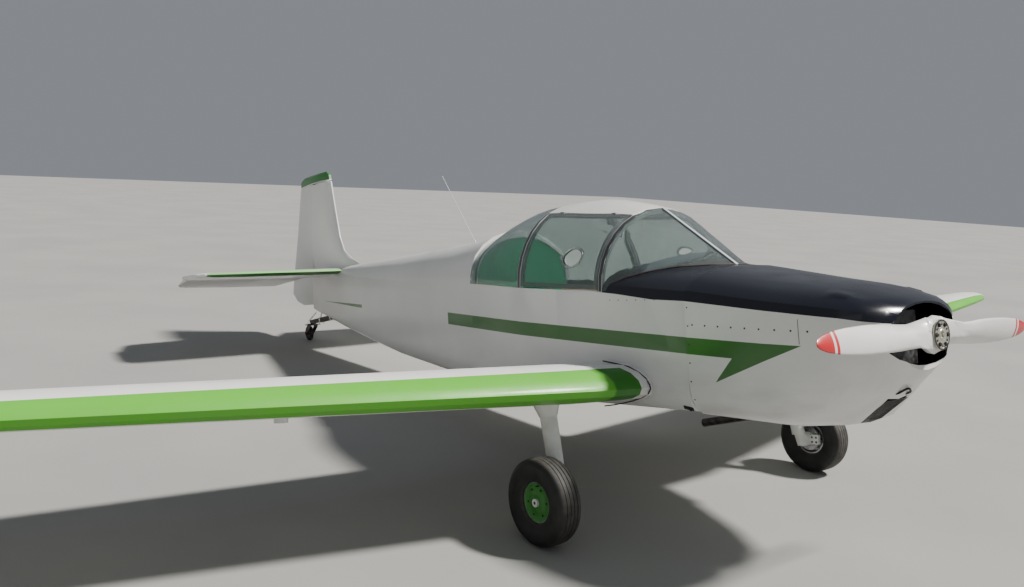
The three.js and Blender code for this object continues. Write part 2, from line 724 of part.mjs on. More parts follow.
// The room in the wing for a flap or aileron and its running gap
function trailingRoom(surface) {
  const ends = [surface.span[0] - RUNNING_GAP, surface.span[1] + RUNNING_GAP];
  return loft(
    ends.map((x) => {
      const ring = noseRing(surface, x, RUNNING_GAP + 1.5, 6);
      const [top, bottom] = [ring[0][2], ring[ring.length - 1][2]];
      return [...ring, [x, 2000, bottom], [x, 2000, top]];
    }),
  );
}

// Short pins on the hinge line, from the wing's end walls to the surface's end faces
const PIN_RADIUS = 7;
const PIN_ROOT = 14;
const PIN_END_GAP = 1.2;
function hingePins(surface) {
  const pin = (x, out) => {
    const axisAt = (d) => hingeOf(surface, x + out * d).point;
    return bar(axisAt(PIN_END_GAP), axisAt(RUNNING_GAP + PIN_ROOT), PIN_RADIUS, PIN_RADIUS, 10);
  };
  return pin(surface.span[0], -1).add(pin(surface.span[1], 1));
}

// Tips a group of wing pieces to its incidence and dihedral
function setInWing(group, side) {
  group.rotation.set(rad(-WING_INCIDENCE), rad(-side * WING_DIHEDRAL), 0, "YXZ");
  group.position.set(0, ...WING_LEADING);
  group.updateMatrix();
}

const PAD_S = wingAt(PAD.x)[0] + PAD.aft;

function buildWings() {
  const whole = wingSolid();
  const fuselage = hullSolid(CABIN_STATIONS, SEAT_GAP);
  for (const side of [1, -1]) {
    const group = new THREE.Group();
    setInWing(group, side);
    airframe.add(group);
    const toWing = group.matrix.clone().invert();
    const suffix = side > 0 ? "left" : "right";
    const turn = (solid) => (side > 0 ? solid : mirrored(solid));
    let wing = whole
      .subtract(trailingRoom(FLAP))
      .subtract(trailingRoom(AILERON))
      .add(hingePins(FLAP))
      .add(hingePins(AILERON))
      .add(bar([PAD.x, PAD_S, -PAD.w - PAD.depth], [PAD.x, PAD_S, -20], PAD.radius, PAD.radius, 16));
    wing = turn(wing).subtract(fuselage.transform(toWing.elements));
    place(`wing_${suffix}`, wing, whitePaint, group);
    place(`flap_${suffix}`, turn(trailingPiece(FLAP)), whitePaint, group);
    place(`aileron_${suffix}`, turn(trailingPiece(AILERON)), whitePaint, group);
  }
}

// Tailplane: a flat symmetrical section from the leading edge to the elevator's hinge
const TAIL_NOSE = 30; // radius of the elevator's nose at the centre
function tailRow(x) {
  return rowAt(TAIL_OUTLINE, Math.abs(x));
}
function tailplaneSolid(grow = 0) {
  const port = TAIL_OUTLINE.map((row) => row[0]);
  const stations = [...port.map((x) => -x).reverse(), ...port.slice(1)];
  const solid = loft(
    stations.map((x) => {
      const [, leading, share] = tailRow(x);
      const half = (TAIL_THICKNESS / 2) * share + grow;
      const rear = TAIL_HINGE_S;
      const chord = rear - leading;
      const profile = [
        [0, 0],
        [0.03, 0.42],
        [0.12, 0.8],
        [0.35, 1],
        [1, 0.81],
      ];
      const upper = profile.map(([k, h]) => [x, leading - grow + k * chord, TAIL_W + h * half]);
      const lower = profile.slice(1).map(([k, h]) => [x, leading - grow + k * chord, TAIL_W - h * half]);
      return [...upper, ...lower.reverse()];
    }),
  );
  const reach = TAIL_NOSE + RUNNING_GAP;
  if (grow > 0) return solid;
  const hingeEnd = (x) => [x, TAIL_HINGE_S, TAIL_W];
  return solid.subtract(bar(hingeEnd(-1600), hingeEnd(1600), reach, reach, 16));
}

// Elevator: one half on each side of the rudder, with its inner end cut back
const ELEVATOR_INNER = { hinge: 96, trailing: 300 };
function elevatorSolid() {
  const rows = [
    [ELEVATOR_INNER.hinge, 6310 + 24],
    [150, 6405],
    [ELEVATOR_INNER.trailing, 6735],
    [900, 6700],
    [1230, 6664],
    [1282, 6640],
    [1310, 6580],
  ];
  const solid = loft(
    rows.map(([x, trailing]) => {
      const [, , share] = tailRow(x);
      const radius = TAIL_NOSE * Math.max(share, 0.45);
      const nose = steps(Math.PI / 2, (3 * Math.PI) / 2, 6).map((t) => [
        x,
        TAIL_HINGE_S + radius * Math.cos(t),
        TAIL_W + radius * Math.sin(t),
      ]);
      return [...nose, [x, trailing, TAIL_W - 2], [x, trailing, TAIL_W + 2]];
    }),
  );
  return solid;
}

function buildTailplane() {
  place("tailplane", tailplaneSolid(), whitePaint);
  const hinge = new THREE.Group();
  hinge.position.set(0, TAIL_HINGE_S, TAIL_W);
  hinge.rotation.x = rad(-ELEVATOR_DROOP);
  airframe.add(hinge);
  const moved = elevatorSolid().translate([0, -TAIL_HINGE_S, -TAIL_W]);
  place("elevator_left", moved, whitePaint, hinge);
  place("elevator_right", mirrored(moved), whitePaint, hinge);
}

// Fin and rudder: side-view outlines with a section that thins towards both ends
function hingeAt(w) {
  const { top, bottom } = RUDDER_HINGE;
  return lerp(bottom[0], top[0], (w - bottom[1]) / (top[1] - bottom[1]));
}

// Fin leading edge: w, s, half thickness
const FIN_LINES = [
  [612, 5370, 22],
  [660, 5430, 26],
  [720, 5590, 34],
  [800, 5716, 42],
  [940, 5796, 46],
  [1200, 5862, 44],
  [1494, 5930, 40],
];
const RUDDER_NOSE = 34;
function finSolid(grow = 0) {
  const solid = loft(
    FIN_LINES.map(([height, front, half], i) => {
      const w = i === 0 ? height - grow : height;
      const leading = front - (i === 0 ? 2 * grow : grow);
      const rear = hingeAt(w);
      const chord = rear - leading;
      const profile = [
        [0, 0.06],
        [0.05, 0.5],
        [0.2, 0.85],
        [0.45, 1],
        [1, 0.76],
      ];
      const port = profile.map(([k, h]) => [h * half + grow, leading + k * chord, w]);
      const starboard = profile.map(([k, h]) => [-h * half - grow, leading + k * chord, w]);
      return [...port, ...starboard.reverse()];
    }),
  );
  return solid;
}

// Rudder trailing edge: w, s
const RUDDER_LINES = [
  [RUDDER_FOOT_W, 6700],
  [345, 6850],
  [430, 6955],
  [560, 6920],
  [1028, 6758],
  [1500, 6620],
];
const HORN = { low: 1506, high: 1596, front: 5935, rear: 6610 };

function rudderRing(w, rear, front = null) {
  const radius = RUDDER_NOSE * 0.88;
  const axis = hingeAt(w);
  if (front !== null) {
    const half = 36;
    return [
      [half * 0.3, front, w],
      [half, lerp(front, rear, 0.25), w],
      [half, axis, w],
      [2, rear, w],
      [-2, rear, w],
      [-half, axis, w],
      [-half, lerp(front, rear, 0.25), w],
      [-half * 0.3, front, w],
    ];
  }
  const nose = steps(0, Math.PI, 6).map((t) => [radius * Math.cos(t), axis - radius * Math.sin(t), w]);
  return [...nose, [-2, rear, w], [2, rear, w]];
}

// The rudder's lower hinge: a lug behind the stern with a pin that carries the rudder's foot
const LUG = { halfWidth: 14, low: 266, pinRadius: 9 };

function rudderFoot() {
  const top = RUDDER_FOOT_W - RUNNING_GAP;
  const axis = hingeAt(top);
  const lug = boxSolid([-LUG.halfWidth, STERN_S - 30, LUG.low], [LUG.halfWidth, axis + LUG.halfWidth, top]);
  const pinTop = RUDDER_FOOT_W - PIN_END_GAP;
  const [low, high] = [LUG.low, pinTop].map((w) => [0, hingeAt(w), w]);
  return lug.add(bar(low, high, LUG.pinRadius, LUG.pinRadius, 10));
}

// The room for the rudder's round nose and its swing
function rudderRoom() {
  const rings = [RUDDER_FOOT_W - RUNNING_GAP, 1508].map((w) =>
    steps(0, Math.PI, 10)
      .map((t) => {
        const reach = RUDDER_NOSE * 0.88 + RUNNING_GAP;
        return [reach * Math.cos(t), hingeAt(w) - reach * Math.sin(t), w];
      })
      .concat([
        [-200, hingeAt(w) + 200, w],
        [200, hingeAt(w) + 200, w],
      ]),
  );
  return loft(rings);
}

function buildFinAndRudder() {
  const fin = finSolid().subtract(rudderRoom()).subtract(tailplaneSolid(SEAT_GAP));
  place("fin", fin, whitePaint);
  const blade = loft(RUDDER_LINES.map(([w, s]) => rudderRing(w, s)));
  const horn = loft([
    rudderRing(HORN.low, HORN.rear + 6, HORN.front),
    rudderRing(HORN.low + 50, HORN.rear, HORN.front + 14),
    rudderRing(HORN.high - 18, HORN.rear - 34, HORN.front + 44),
    rudderRing(HORN.high, HORN.rear - 90, HORN.front + 80).map(([x, s, w]) => [x * 0.45, s, w]),
  ]);
  const neck = boxSolid([-20, hingeAt(1500) + 2, 1470], [20, 6600, 1520]);
  const neckRoom = loft([1460, 1530].map((w) => rudderRing(w, 6612)));
  place("rudder", blade.add(horn).add(neck.intersect(neckRoom)), whitePaint);
}

// Landing gear
function tyreProfile() {
  const [outer, inner, half] = [TYRE_DIAMETER / 2, RIM_DIAMETER / 2 + SEAT_GAP, TYRE_WIDTH / 2];
  const side = [
    [inner, half * 0.62],
    [outer * 0.8, half],
    [outer * 0.95, half * 0.84],
    [outer, half * 0.4],
  ];
  return [...side.map(([r, x]) => [r, -x]), ...side.reverse(), [inner, -half * 0.62]];
}

// Brake disc on the wheel, and the calliper on the leg's foot, ahead of the axle
const BRAKE = { radius: 76, reach: 88, half: 30, thick: 26 };

function buildMainWheels() {
  const [axleS, axleW] = WHEEL_AXLE;
  const centre = [WHEEL_TRACK / 2, axleS, axleW];
  placePair("tyre", turned(tyreProfile(), centre, 28), rubber);
  const rim = [
    [21, -57],
    [BRAKE.radius, -57],
    [BRAKE.radius, -52],
    [46, -52],
    [46, -40],
    [60, -40],
    [RIM_DIAMETER / 2, -46],
    [RIM_DIAMETER / 2, 46],
    [60, 40],
    [36, 42],
    [30, 52],
    [21, 52],
    [21, -57],
  ];
  placePair("wheel", turned(rim, centre, 28), bareMetal);

  const inboard = WHEEL_TRACK / 2 - 62;
  const [topS, topW] = LEG_TOP;
  const radius = LEG_DIAMETER / 2;
  const leg = bar([LEG_X, topS, topW], [LEG_X, axleS + 26, axleW + 36], radius, radius - 4, 14)
    .add(bar([LEG_X, topS + 2, topW + 10], [LEG_X, topS - 10, topW - 62], 72, 46, 14))
    .add(bar([LEG_X, axleS + 22, axleW + 60], [LEG_X, axleS, axleW - 34], 36, 30, 12))
    .add(bar([LEG_X - 20, axleS, axleW], [WHEEL_TRACK / 2 + 58, axleS, axleW], 20.7, 20.7, 14))
    .add(bar([LEG_X, axleS, axleW], [inboard, axleS, axleW], 44, 44, 14));
  const under = wingCutter();
  const calliper = boxSolid(
    [inboard - BRAKE.thick, axleS - BRAKE.reach, axleW - BRAKE.half],
    [inboard, axleS - 30, axleW + BRAKE.half],
  );
  placePair("gear_leg", leg.subtract(under).add(calliper), whitePaint);
}

// The port wing and all above it, lowered by the seat gap, in the airframe's axes
function wingCutter() {
  const group = new THREE.Group();
  setInWing(group, 1);
  return wingSolid()
    .add(boxSolid([600, 0, 0], [1600, 1100, 300]))
    .translate([0, 0, -SEAT_GAP])
    .transform(group.matrix.elements);
}

// Tail wheel, fork and leaf spring, in ground axes: x across, y aft of the hub, z up
const KINGPIN = { y: 6433, top: 214, radius: 15 };
const FORK = { half: 34, thick: 8, crown: 168, horn: 82 };

function buildTailwheel() {
  const group = new THREE.Group();
  aircraft.add(group);
  const radius = TAILWHEEL_DIAMETER / 2;
  const half = TAILWHEEL_WIDTH / 2;
  const centre = [0, TAILWHEEL_Y, radius];
  const tyre = [
    [36, -half * 0.7],
    [radius * 0.8, -half],
    [radius * 0.96, -half * 0.6],
    [radius, 0],
    [radius * 0.96, half * 0.6],
    [radius * 0.8, half],
    [36, half * 0.7],
    [36, -half * 0.7],
  ];
  place("tailwheel_tyre", turned(tyre, centre, 18), rubber, group);
  const hub = [
    [8.3, -half * 1.1],
    [20, -half * 1.1],
    [20, -half * 0.7],
    [35.7, -half * 0.7],
    [35.7, half * 0.7],
    [20, half * 0.7],
    [20, half * 1.1],
    [8.3, half * 1.1],
    [8.3, -half * 1.1],
  ];
  place("tailwheel_hub", turned(hub, centre, 18), bareMetal, group);

  const arm = (side) => {
    const [x0, x1] = [FORK.half, FORK.half + FORK.thick].map((x) => x * side);
    return loft(
      [x0, x1].map((x) => [
        [x, KINGPIN.y - 26, FORK.crown + 10],
        [x, KINGPIN.y - 30, FORK.crown - 10],
        [x, TAILWHEEL_Y - 16, radius - 10],
        [x, TAILWHEEL_Y + 12, radius - 14],
        [x, TAILWHEEL_Y + 16, radius + 10],
        [x, KINGPIN.y + 34, FORK.crown + 10],
      ]),
    );
  };
  const reach = FORK.half + FORK.thick;
  const [hornY, hornZ] = [KINGPIN.y, FORK.crown + 3];
  const fork = boxSolid([-reach, KINGPIN.y - 28, FORK.crown], [reach, KINGPIN.y + 34, FORK.crown + 12])
    .add(arm(1))
    .add(arm(-1))
    .add(bar([0, KINGPIN.y, FORK.crown + 5], [0, KINGPIN.y, KINGPIN.top - 24.3], 24))
    .add(boxSolid([-FORK.horn, hornY - 12, hornZ], [FORK.horn, hornY + 12, hornZ + 6]))
    .add(bar([-reach - 6, TAILWHEEL_Y, radius], [reach + 6, TAILWHEEL_Y, radius], 8));
  place("tailwheel_fork", fork, steel, group);

  const spring = new THREE.Shape();
  spring.moveTo(5690, 370);
  spring.lineTo(5925, 366);
  spring.quadraticCurveTo(6150, 300, KINGPIN.y + 30, KINGPIN.top);
  spring.lineTo(KINGPIN.y + 30, KINGPIN.top - 24);
  spring.lineTo(KINGPIN.y - 30, KINGPIN.top - 24);
  spring.quadraticCurveTo(6130, 272, 5925, 324);
  spring.lineTo(5690, 330);
  spring.closePath();
  const outline = spring.getPoints(8).map((v) => [v.x, v.y]);
  if (outline[0][0] === outline[outline.length - 1][0]) outline.pop();
  const grounded = new THREE.Group();
  grounded.rotation.x = rad(-GROUND_ANGLE);
  grounded.position.z = HUB_HEIGHT;
  grounded.updateMatrix();
  const hull = hullSolid([5000, 5600, 6050, STERN_S], SEAT_GAP).transform(grounded.matrix.elements);
  place("tail_spring", sidePrism(outline, -22, 22).subtract(hull), steel, group);
}

// Propeller: r, chord, thickness, blade angle in degrees, and how near the section is to an ellipse
const BLADE_LINES = [
  [20, 176, 62, 0, 1],
  [75, 152, 62, 12, 1],
  [130, 138, 54, 28, 0.6],
  [190, 124, 44, 36, 0.15],
  [280, 130, 33, 31, 0],
  [400, 136, 25, 23.5, 0],
  [560, 133, 18, 17.5, 0],
  [700, 117, 13, 14, 0],
  [800, 94, 10, 12, 0],
  [862, 66, 8, 11, 0],
  [895, 38, 6, 10.5, 0],
  [907, 14, 4, 10.5, 0],
];
const BLADE_SECTION = [
  [-0.5, 0],
  [-0.42, 0.55],
  [-0.22, 0.9],
  [0.05, 0.95],
  [0.3, 0.6],
  [0.5, 0.06],
  [0.5, -0.06],
  [0.1, -0.05],
  [-0.35, -0.05],
];
// Where the ellipse has the point that matches each of the section's
const ROOT_ANGLES = [180, 150, 118, 85, 45, 10, -10, -75, -135];
const ROOT_SHIFT = 7; // the root sections' middle, aft of the blades'
// The boss, with its front dressed flat out to `flat`, fading into the blades by `fade`
const BOSS = { radius: 92, face: 22, depth: 84, flat: 80, fade: 300, lead: 30 };
const HUB = { radius: 69, plate: 9, boltCircle: 50, boltRadius: 8.5, boltHead: 8 };

function bladeSolid() {
  return loft(
    BLADE_LINES.map(([r, chord, thickness, angle, round]) => {
      const [c, n] = [Math.cos(rad(angle)), Math.sin(rad(angle))];
      const middle = PROP_S + round * ROOT_SHIFT;
      return BLADE_SECTION.map(([k, h], i) => {
        const t = rad(ROOT_ANGLES[i]);
        const across = -lerp(k, Math.cos(t) / 2, round) * chord;
        const front = lerp(h, Math.sin(t) / 2, round) * thickness;
        return [r, middle - across * n - front * c, across * c - front * n];
      });
    }),
  );
}

// Everything behind the dressed front of the boss
function behindFace() {
  const [span, rear, half] = [1000, 500, 500];
  const corners = [
    [BOSS.flat, BOSS.face],
    [BOSS.fade, BOSS.face - BOSS.lead],
    [span, BOSS.face - 8 * BOSS.lead],
    [span, rear],
  ];
  const outline = [...corners, ...corners.map(([x, s]) => [-x, s]).reverse()];
  return loft([-half, half].map((w) => outline.map(([x, s]) => [x, s, w])));
}

function buildPropeller() {
  const group = new THREE.Group();
  group.rotation.y = rad(PROP_TILT);
  airframe.add(group);
  const blade = bladeSolid();
  const other = blade.rotate([0, 180, 0]);
  const boss = bar([0, BOSS.face, 0], [0, BOSS.depth, 0], BOSS.radius, BOSS.radius, 28);
  place("propeller", blade.add(other).add(boss).intersect(behindFace()), whitePaint, group);

  const back = BOSS.face - SEAT_GAP;
  const front = back - HUB.plate;
  let plate = bar([0, front, 0], [0, back, 0], HUB.radius, HUB.radius, 24);
  for (const angle of steps(0, 2 * Math.PI, 6).slice(1)) {
    const [x, w] = [HUB.boltCircle * Math.cos(angle), HUB.boltCircle * Math.sin(angle)];
    const head = bar([x, front - HUB.boltHead, w], [x, back - 1, w], HUB.boltRadius, HUB.boltRadius, 6);
    plate = plate.add(head);
  }
  place("hub_plate", plate, bareMetal, group);
}

// Exhaust tail pipe under the cowl's starboard side, from [s, w] to [s, w]
const EXHAUST = { x: -290, start: [800, -378], end: [1150, -444], radius: 22, wall: 3 };

function buildSmallFittings() {
  const { x, start, end, radius, wall } = EXHAUST;
  const along = (d) => [x, lerp(start[0], end[0], d), lerp(start[1], end[1], d)];
  const bore = bar(along(0.72), along(1.1), radius - wall, radius - wall, 16);
  const pipe = bar(along(0), along(1), radius, radius, 16).subtract(bore);
  const cowl = loft(COWL_LINES.map((row) => cowlRing(row[0], SEAT_GAP)));
  place("exhaust_pipe", pipe.subtract(cowl).subtract(hullSolid(CABIN_STATIONS, SEAT_GAP)), steel);

  const [foot, tip] = [[0, 3520, 660], [0, 3957, 1261]];
  const up = (d) => foot.map((v, k) => v + (tip[k] - v) * d);
  const whip = bar(up(0), up(0.09), 9, 6, 10).add(bar(up(0.08), up(1), 3, 2, 8));
  place("antenna", whip.subtract(hullSolid([3000, 3400, 4300], SEAT_GAP)), steel);
}

buildFuselage();
buildFirewall();
buildCowl();
buildEngine();
buildCanopy();
buildCabin();
buildWings();
buildTailplane();
buildFinAndRudder();
buildMainWheels();
buildTailwheel();
buildPropeller();
buildSmallFittings();

airframe.rotation.x = rad(-GROUND_ANGLE);
airframe.position.z = HUB_HEIGHT;
const box = new THREE.Box3().setFromObject(aircraft, true);
for (const child of aircraft.children) child.position.y -= (box.min.y + box.max.y) / 2;

export default aircraft;
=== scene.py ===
# %% [markdown]
# A light aircraft, dressed for its picture
#
# The solid model of the aircraft is loaded first and is never moved. It has the right sizes but flat
# facets and plain colours. Cell by cell this file gives every piece its finish, lays smooth skins over
# the faceted ones, and adds the small parts that a visitor on the grass would see.

# %% Load the frame
import json
import math
import bpy
import bmesh
from mathutils import Matrix, Vector
from mathutils.bvhtree import BVHTree

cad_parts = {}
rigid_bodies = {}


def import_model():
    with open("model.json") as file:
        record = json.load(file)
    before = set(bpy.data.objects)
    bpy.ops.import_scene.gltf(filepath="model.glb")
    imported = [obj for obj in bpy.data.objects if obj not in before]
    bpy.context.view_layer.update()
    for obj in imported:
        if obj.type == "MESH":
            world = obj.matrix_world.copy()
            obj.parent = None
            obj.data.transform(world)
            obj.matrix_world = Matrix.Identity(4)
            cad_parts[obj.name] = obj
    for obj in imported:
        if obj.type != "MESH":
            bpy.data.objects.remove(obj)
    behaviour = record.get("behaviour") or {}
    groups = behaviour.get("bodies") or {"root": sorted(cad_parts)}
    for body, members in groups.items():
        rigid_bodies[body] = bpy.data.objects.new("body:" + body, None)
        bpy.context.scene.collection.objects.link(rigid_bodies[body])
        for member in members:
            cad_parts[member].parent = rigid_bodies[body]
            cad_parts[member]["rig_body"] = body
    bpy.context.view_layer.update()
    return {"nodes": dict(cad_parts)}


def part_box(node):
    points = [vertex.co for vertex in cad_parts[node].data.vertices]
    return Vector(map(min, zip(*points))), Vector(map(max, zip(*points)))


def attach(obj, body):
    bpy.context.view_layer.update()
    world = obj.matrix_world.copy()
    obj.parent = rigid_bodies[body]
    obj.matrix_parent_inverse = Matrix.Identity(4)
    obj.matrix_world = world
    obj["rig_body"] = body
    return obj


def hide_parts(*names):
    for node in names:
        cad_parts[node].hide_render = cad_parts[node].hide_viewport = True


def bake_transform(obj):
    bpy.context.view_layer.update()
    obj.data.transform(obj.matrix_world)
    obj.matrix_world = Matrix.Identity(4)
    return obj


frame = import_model()
print("solids in the frame:", len(frame["nodes"]))

# %% [markdown]
# The aircraft stands on its tail wheel, so its own axes are turned ten degrees from the ground's.
# Every measure on the airframe is easier in its own terms: x to port, s aft of the propeller hub and
# w above the thrust line. One matrix carries such a place over to the ground's axes.

# %% The airframe's own axes
GROUND_ANGLE = math.radians(10)
HUB = Vector((0, -3.459025, 1.210))
QUARTER = math.pi / 2
HANDS = (("left", 1), ("right", -1))


def move(*offset):
    return Matrix.Translation(offset)


def rotate(angle, axis):
    return Matrix.Rotation(angle, 4, axis)


def mirror(side):
    """Keeps a port part as it is for 1, and makes a starboard part of it for -1."""
    return Matrix.Scale(side, 4, (1, 0, 0))


TILT = move(*HUB) @ rotate(-GROUND_ANGLE, "X")
UNTILT = TILT.inverted()


def spot(x, s, w):
    """A place on the airframe, as a point of the frame in metres."""
    return TILT @ Vector((x, s, w))


def shares(count):
    """Even steps from 0 to 1."""
    return [index / (count - 1) for index in range(count)]


def angles(count):
    """Even steps round a full turn, from 0."""
    return [2 * math.pi * index / count for index in range(count)]


print("hub face:", tuple(round(v, 3) for v in spot(0, 0, 0)))

# %% [markdown]
# Most of the work is the same few moves: make a small mesh, give it smooth or sharp edges, put it in its
# place and let it ride on a body. They are written once here. An edge stays sharp where its two faces
# meet at more than the given angle, as a folded sheet does, and everything else is shaded as a curve.

# %% Pieces and their edges
made = []
LOOSE_EDGE_ANGLE = 3.2


def mesh_of(name, shape):
    """Turns a bmesh into a mesh and frees it."""
    mesh = bpy.data.meshes.new(name)
    shape.to_mesh(mesh)
    shape.free()
    return mesh


def add(name, data):
    """A new object in the scene."""
    thing = bpy.data.objects.new(name, data)
    bpy.context.scene.collection.objects.link(thing)
    return thing


def enlist(thing, body, stands_for=()):
    """Lets a piece ride on its body, and hides the solids that it stands for.
    """
    if body is not None:
        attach(thing, body)
    if stands_for:
        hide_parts(*stands_for)
    made.append(thing)
    return thing


def soften(shape, limit):
    """Shades a mesh smooth, apart from edges that turn by more than limit degrees."""
    for face in shape.faces:
        face.smooth = True
    for edge in shape.edges:
        flat_enough = edge.calc_face_angle(LOOSE_EDGE_ANGLE) < math.radians(limit)
        edge.smooth = len(edge.link_faces) == 2 and flat_enough


def placed(shape, matrix):
    """Moves a bmesh, and turns its faces round again where the matrix mirrors it."""
    bmesh.ops.transform(shape, matrix=matrix, verts=shape.verts)
    if matrix.determinant() < 0:
        bmesh.ops.reverse_faces(shape, faces=shape.faces)
    return shape


def piece(name, shape, paint, body="airframe", place=None, stands_for=(), limit=32):
    """Makes a finished object of a bmesh: placed, shaded, painted and riding on its body."""
    if place is not None:
        placed(shape, place)
    soften(shape, limit)
    thing = add(name, mesh_of(name, shape))
    thing.data.materials.append(paint)
    return enlist(thing, body, stands_for)


def outwards(shape, dist=1e-5):
    """Welds a mesh and turns its faces outwards, as it has to be after a spin or a mirror."""
    bmesh.ops.remove_doubles(shape, verts=shape.verts, dist=dist)
    bmesh.ops.recalc_face_normals(shape, faces=shape.faces)
    return shape


def copy_of(node):
    """A welded copy of one solid's mesh, its coplanar triangles joined to larger faces."""
    shape = bmesh.new()
    shape.from_mesh(frame["nodes"][node].data)
    bmesh.ops.remove_doubles(shape, verts=shape.verts, dist=2e-5)
    bmesh.ops.dissolve_limit(shape, angle_limit=math.radians(0.4), verts=shape.verts, edges=shape.edges)
    return shape


# %% [markdown]
# Finishes are node materials. A finish begins with its colour and its gloss on the shader itself, and
# the helpers below add cloudy changes of tone, fine bumps, and a tone that darkens low down. They all
# read Object coordinates, so a pattern stays on its piece when a joint turns it.

# %% Helpers for finishes
def finish(name, colour, roughness, metallic=0.0, **sockets):
    """A new material with its constant values set straight on the shader."""
    paint = bpy.data.materials.new(name)
    paint.use_nodes = True
    shader = paint.node_tree.nodes["Principled BSDF"]
    shader.inputs["Base Color"].default_value = (*colour, 1)
    shader.inputs["Roughness"].default_value = roughness
    shader.inputs["Metallic"].default_value = metallic
    for socket, value in sockets.items():
        shader.inputs[socket.replace("_", " ")].default_value = value
    return paint


def is_socket(value):
    return isinstance(value, bpy.types.NodeSocket)


def connect(value, socket):
    """Links a socket to another one, or sets it to a number or a colour."""
    if is_socket(value):
        value.id_data.links.new(value, socket)
    else:
        socket.default_value = value


def step(tree, kind, *inputs, **settings):
    """Adds a node and feeds its inputs in order, each from a number or a socket."""
    node = tree.nodes.new("ShaderNode" + kind)
    for key, value in settings.items():
        setattr(node, key, value)
    for socket, value in zip(node.inputs, inputs):
        if value is not None:
            connect(value, socket)
    return node


def feed(paint, socket, value):
    """Links a value to one of the shader's inputs."""
    connect(value, paint.node_tree.nodes["Principled BSDF"].inputs[socket])


def maths(operation, *values, clamp=False):
    """One step of arithmetic, in the node tree of its first socket."""
    tree = next(value for value in values if is_socket(value)).id_data
    return step(tree, "Math", *values, operation=operation, use_clamp=clamp).outputs[0]


def ramp(value, low, high, first=0.0, last=1.0):
    """Carries the range from low to high over to the range from first to last."""
    return step(value.id_data, "MapRange", value, low, high, first, last).outputs[0]


def blend_colours(share, first, second):
    """first where share is 0 and second where it is 1."""
    node = step(share.id_data, "Mix", share, data_type="RGBA", blend_type="MIX")
    for socket, value in zip((node.inputs[6], node.inputs[7]), (first, second)):
        connect((*value, 1) if isinstance(value, tuple) else value, socket)
    return node.outputs[2]


def coordinates(paint, airframe=True):
    """Object coordinates, and their three parts, in the airframe's axes or in the ground's."""
    tree = paint.node_tree
    place = step(tree, "TexCoord").outputs["Object"]
    if airframe:
        place = step(tree, "Mapping", place, tuple(-HUB)).outputs[0]
        place = step(tree, "Mapping", place, None, (GROUND_ANGLE, 0, 0)).outputs[0]
    parts = step(tree, "SeparateXYZ", place).outputs
    return place, parts[0], parts[1], parts[2]


def clouds(place, scale, low=0.35, high=0.65, detail=4.0, stretch=None):
    """Soft noise spread over 0 to 1."""
    if stretch:
        place = step(place.id_data, "Mapping", place, None, None, stretch).outputs[0]
    return ramp(step(place.id_data, "TexNoise", place, None, scale, detail).outputs[0], low, high)


def bumps(paint, height, strength, distance):
    """Feeds fine relief to the shader's normal."""
    node = step(paint.node_tree, "Bump")
    for socket, value in (("Strength", strength), ("Distance", distance), ("Height", height)):
        connect(value, node.inputs[socket])
    feed(paint, "Normal", node.outputs[0])


# %% [markdown]
# Markings are masks, 1 where the colour lies and 0 elsewhere. A mask is the side of a line or of a
# limit, and masks are joined by taking the smaller or the larger of them.

# %% Masks
def below(value, limit):
    return maths("LESS_THAN", value, limit)


def above(value, limit):
    return maths("GREATER_THAN", value, limit)


def past(value, limit, sharpness=700.0):
    """0 before a limit and 1 after it, with a short slope between."""
    return maths("MULTIPLY_ADD", maths("SUBTRACT", value, limit), sharpness, 0.5, clamp=True)


def side_of(u, v, start, end, soft=0.0015):
    """1 on the left of the line from start to end in the plane of u and v, 0 on its right."""
    du, dv = end[0] - start[0], end[1] - start[1]
    size = math.hypot(du, dv)
    across = maths("MULTIPLY_ADD", v, du / size / soft, 0.5)
    level = maths("MULTIPLY_ADD", u, -dv / size / soft, across)
    offset = (start[0] * dv - start[1] * du) / size / soft
    return maths("ADD", level, offset, clamp=True)


def all_of(first, *others):
    for mask in others:
        first = maths("MINIMUM", first, mask)
    return first


def any_of(first, *others):
    for mask in others:
        first = maths("MAXIMUM", first, mask)
    return first


# %% [markdown]
# The airframe is painted ply and fabric: an off-white gloss with the faint unevenness of brushed
# dope, a little greyer and browner towards the bottom, in long streaks. The same paint carries the
# dark green flash down the fuselage side, so the flash is a mask in that paint: a few straight lines
# in the plane of s and w. The walls of the chin intake are painted black by the same means, as
# painted shade in the recess.

# %% White paint and the green flash
WHITE = (0.8, 0.8, 0.775)
FLASH_GREEN = (0.02, 0.14, 0.013)
WING_GREEN = (0.12, 0.46, 0.04)
ROOT_GREEN = (0.028, 0.2, 0.018)
NAVY = (0.0032, 0.0042, 0.011)
LOW_TONE = (0.23, 0.22, 0.17)
LOW_TONE_HEIGHTS = (-0.42, 0.05)
LOW_TONE_SHARE = 0.3
SHADE = 0.93
FLASH_REAR = 3.372
FLASH_TOP = ((0.418, -0.02), (3.372, 0.184))
FLASH_FOOT = ((0.767, -0.079), (3.372, 0.1))
FLASH_BARB = (0.87, -0.198)
TAIL_DART = ((6.094, 0.329), (5.075, 0.274), (5.078, 0.243))
INTAKE = {"x": 0.0886, "s": (0.2352, 0.3788), "w": -0.228}


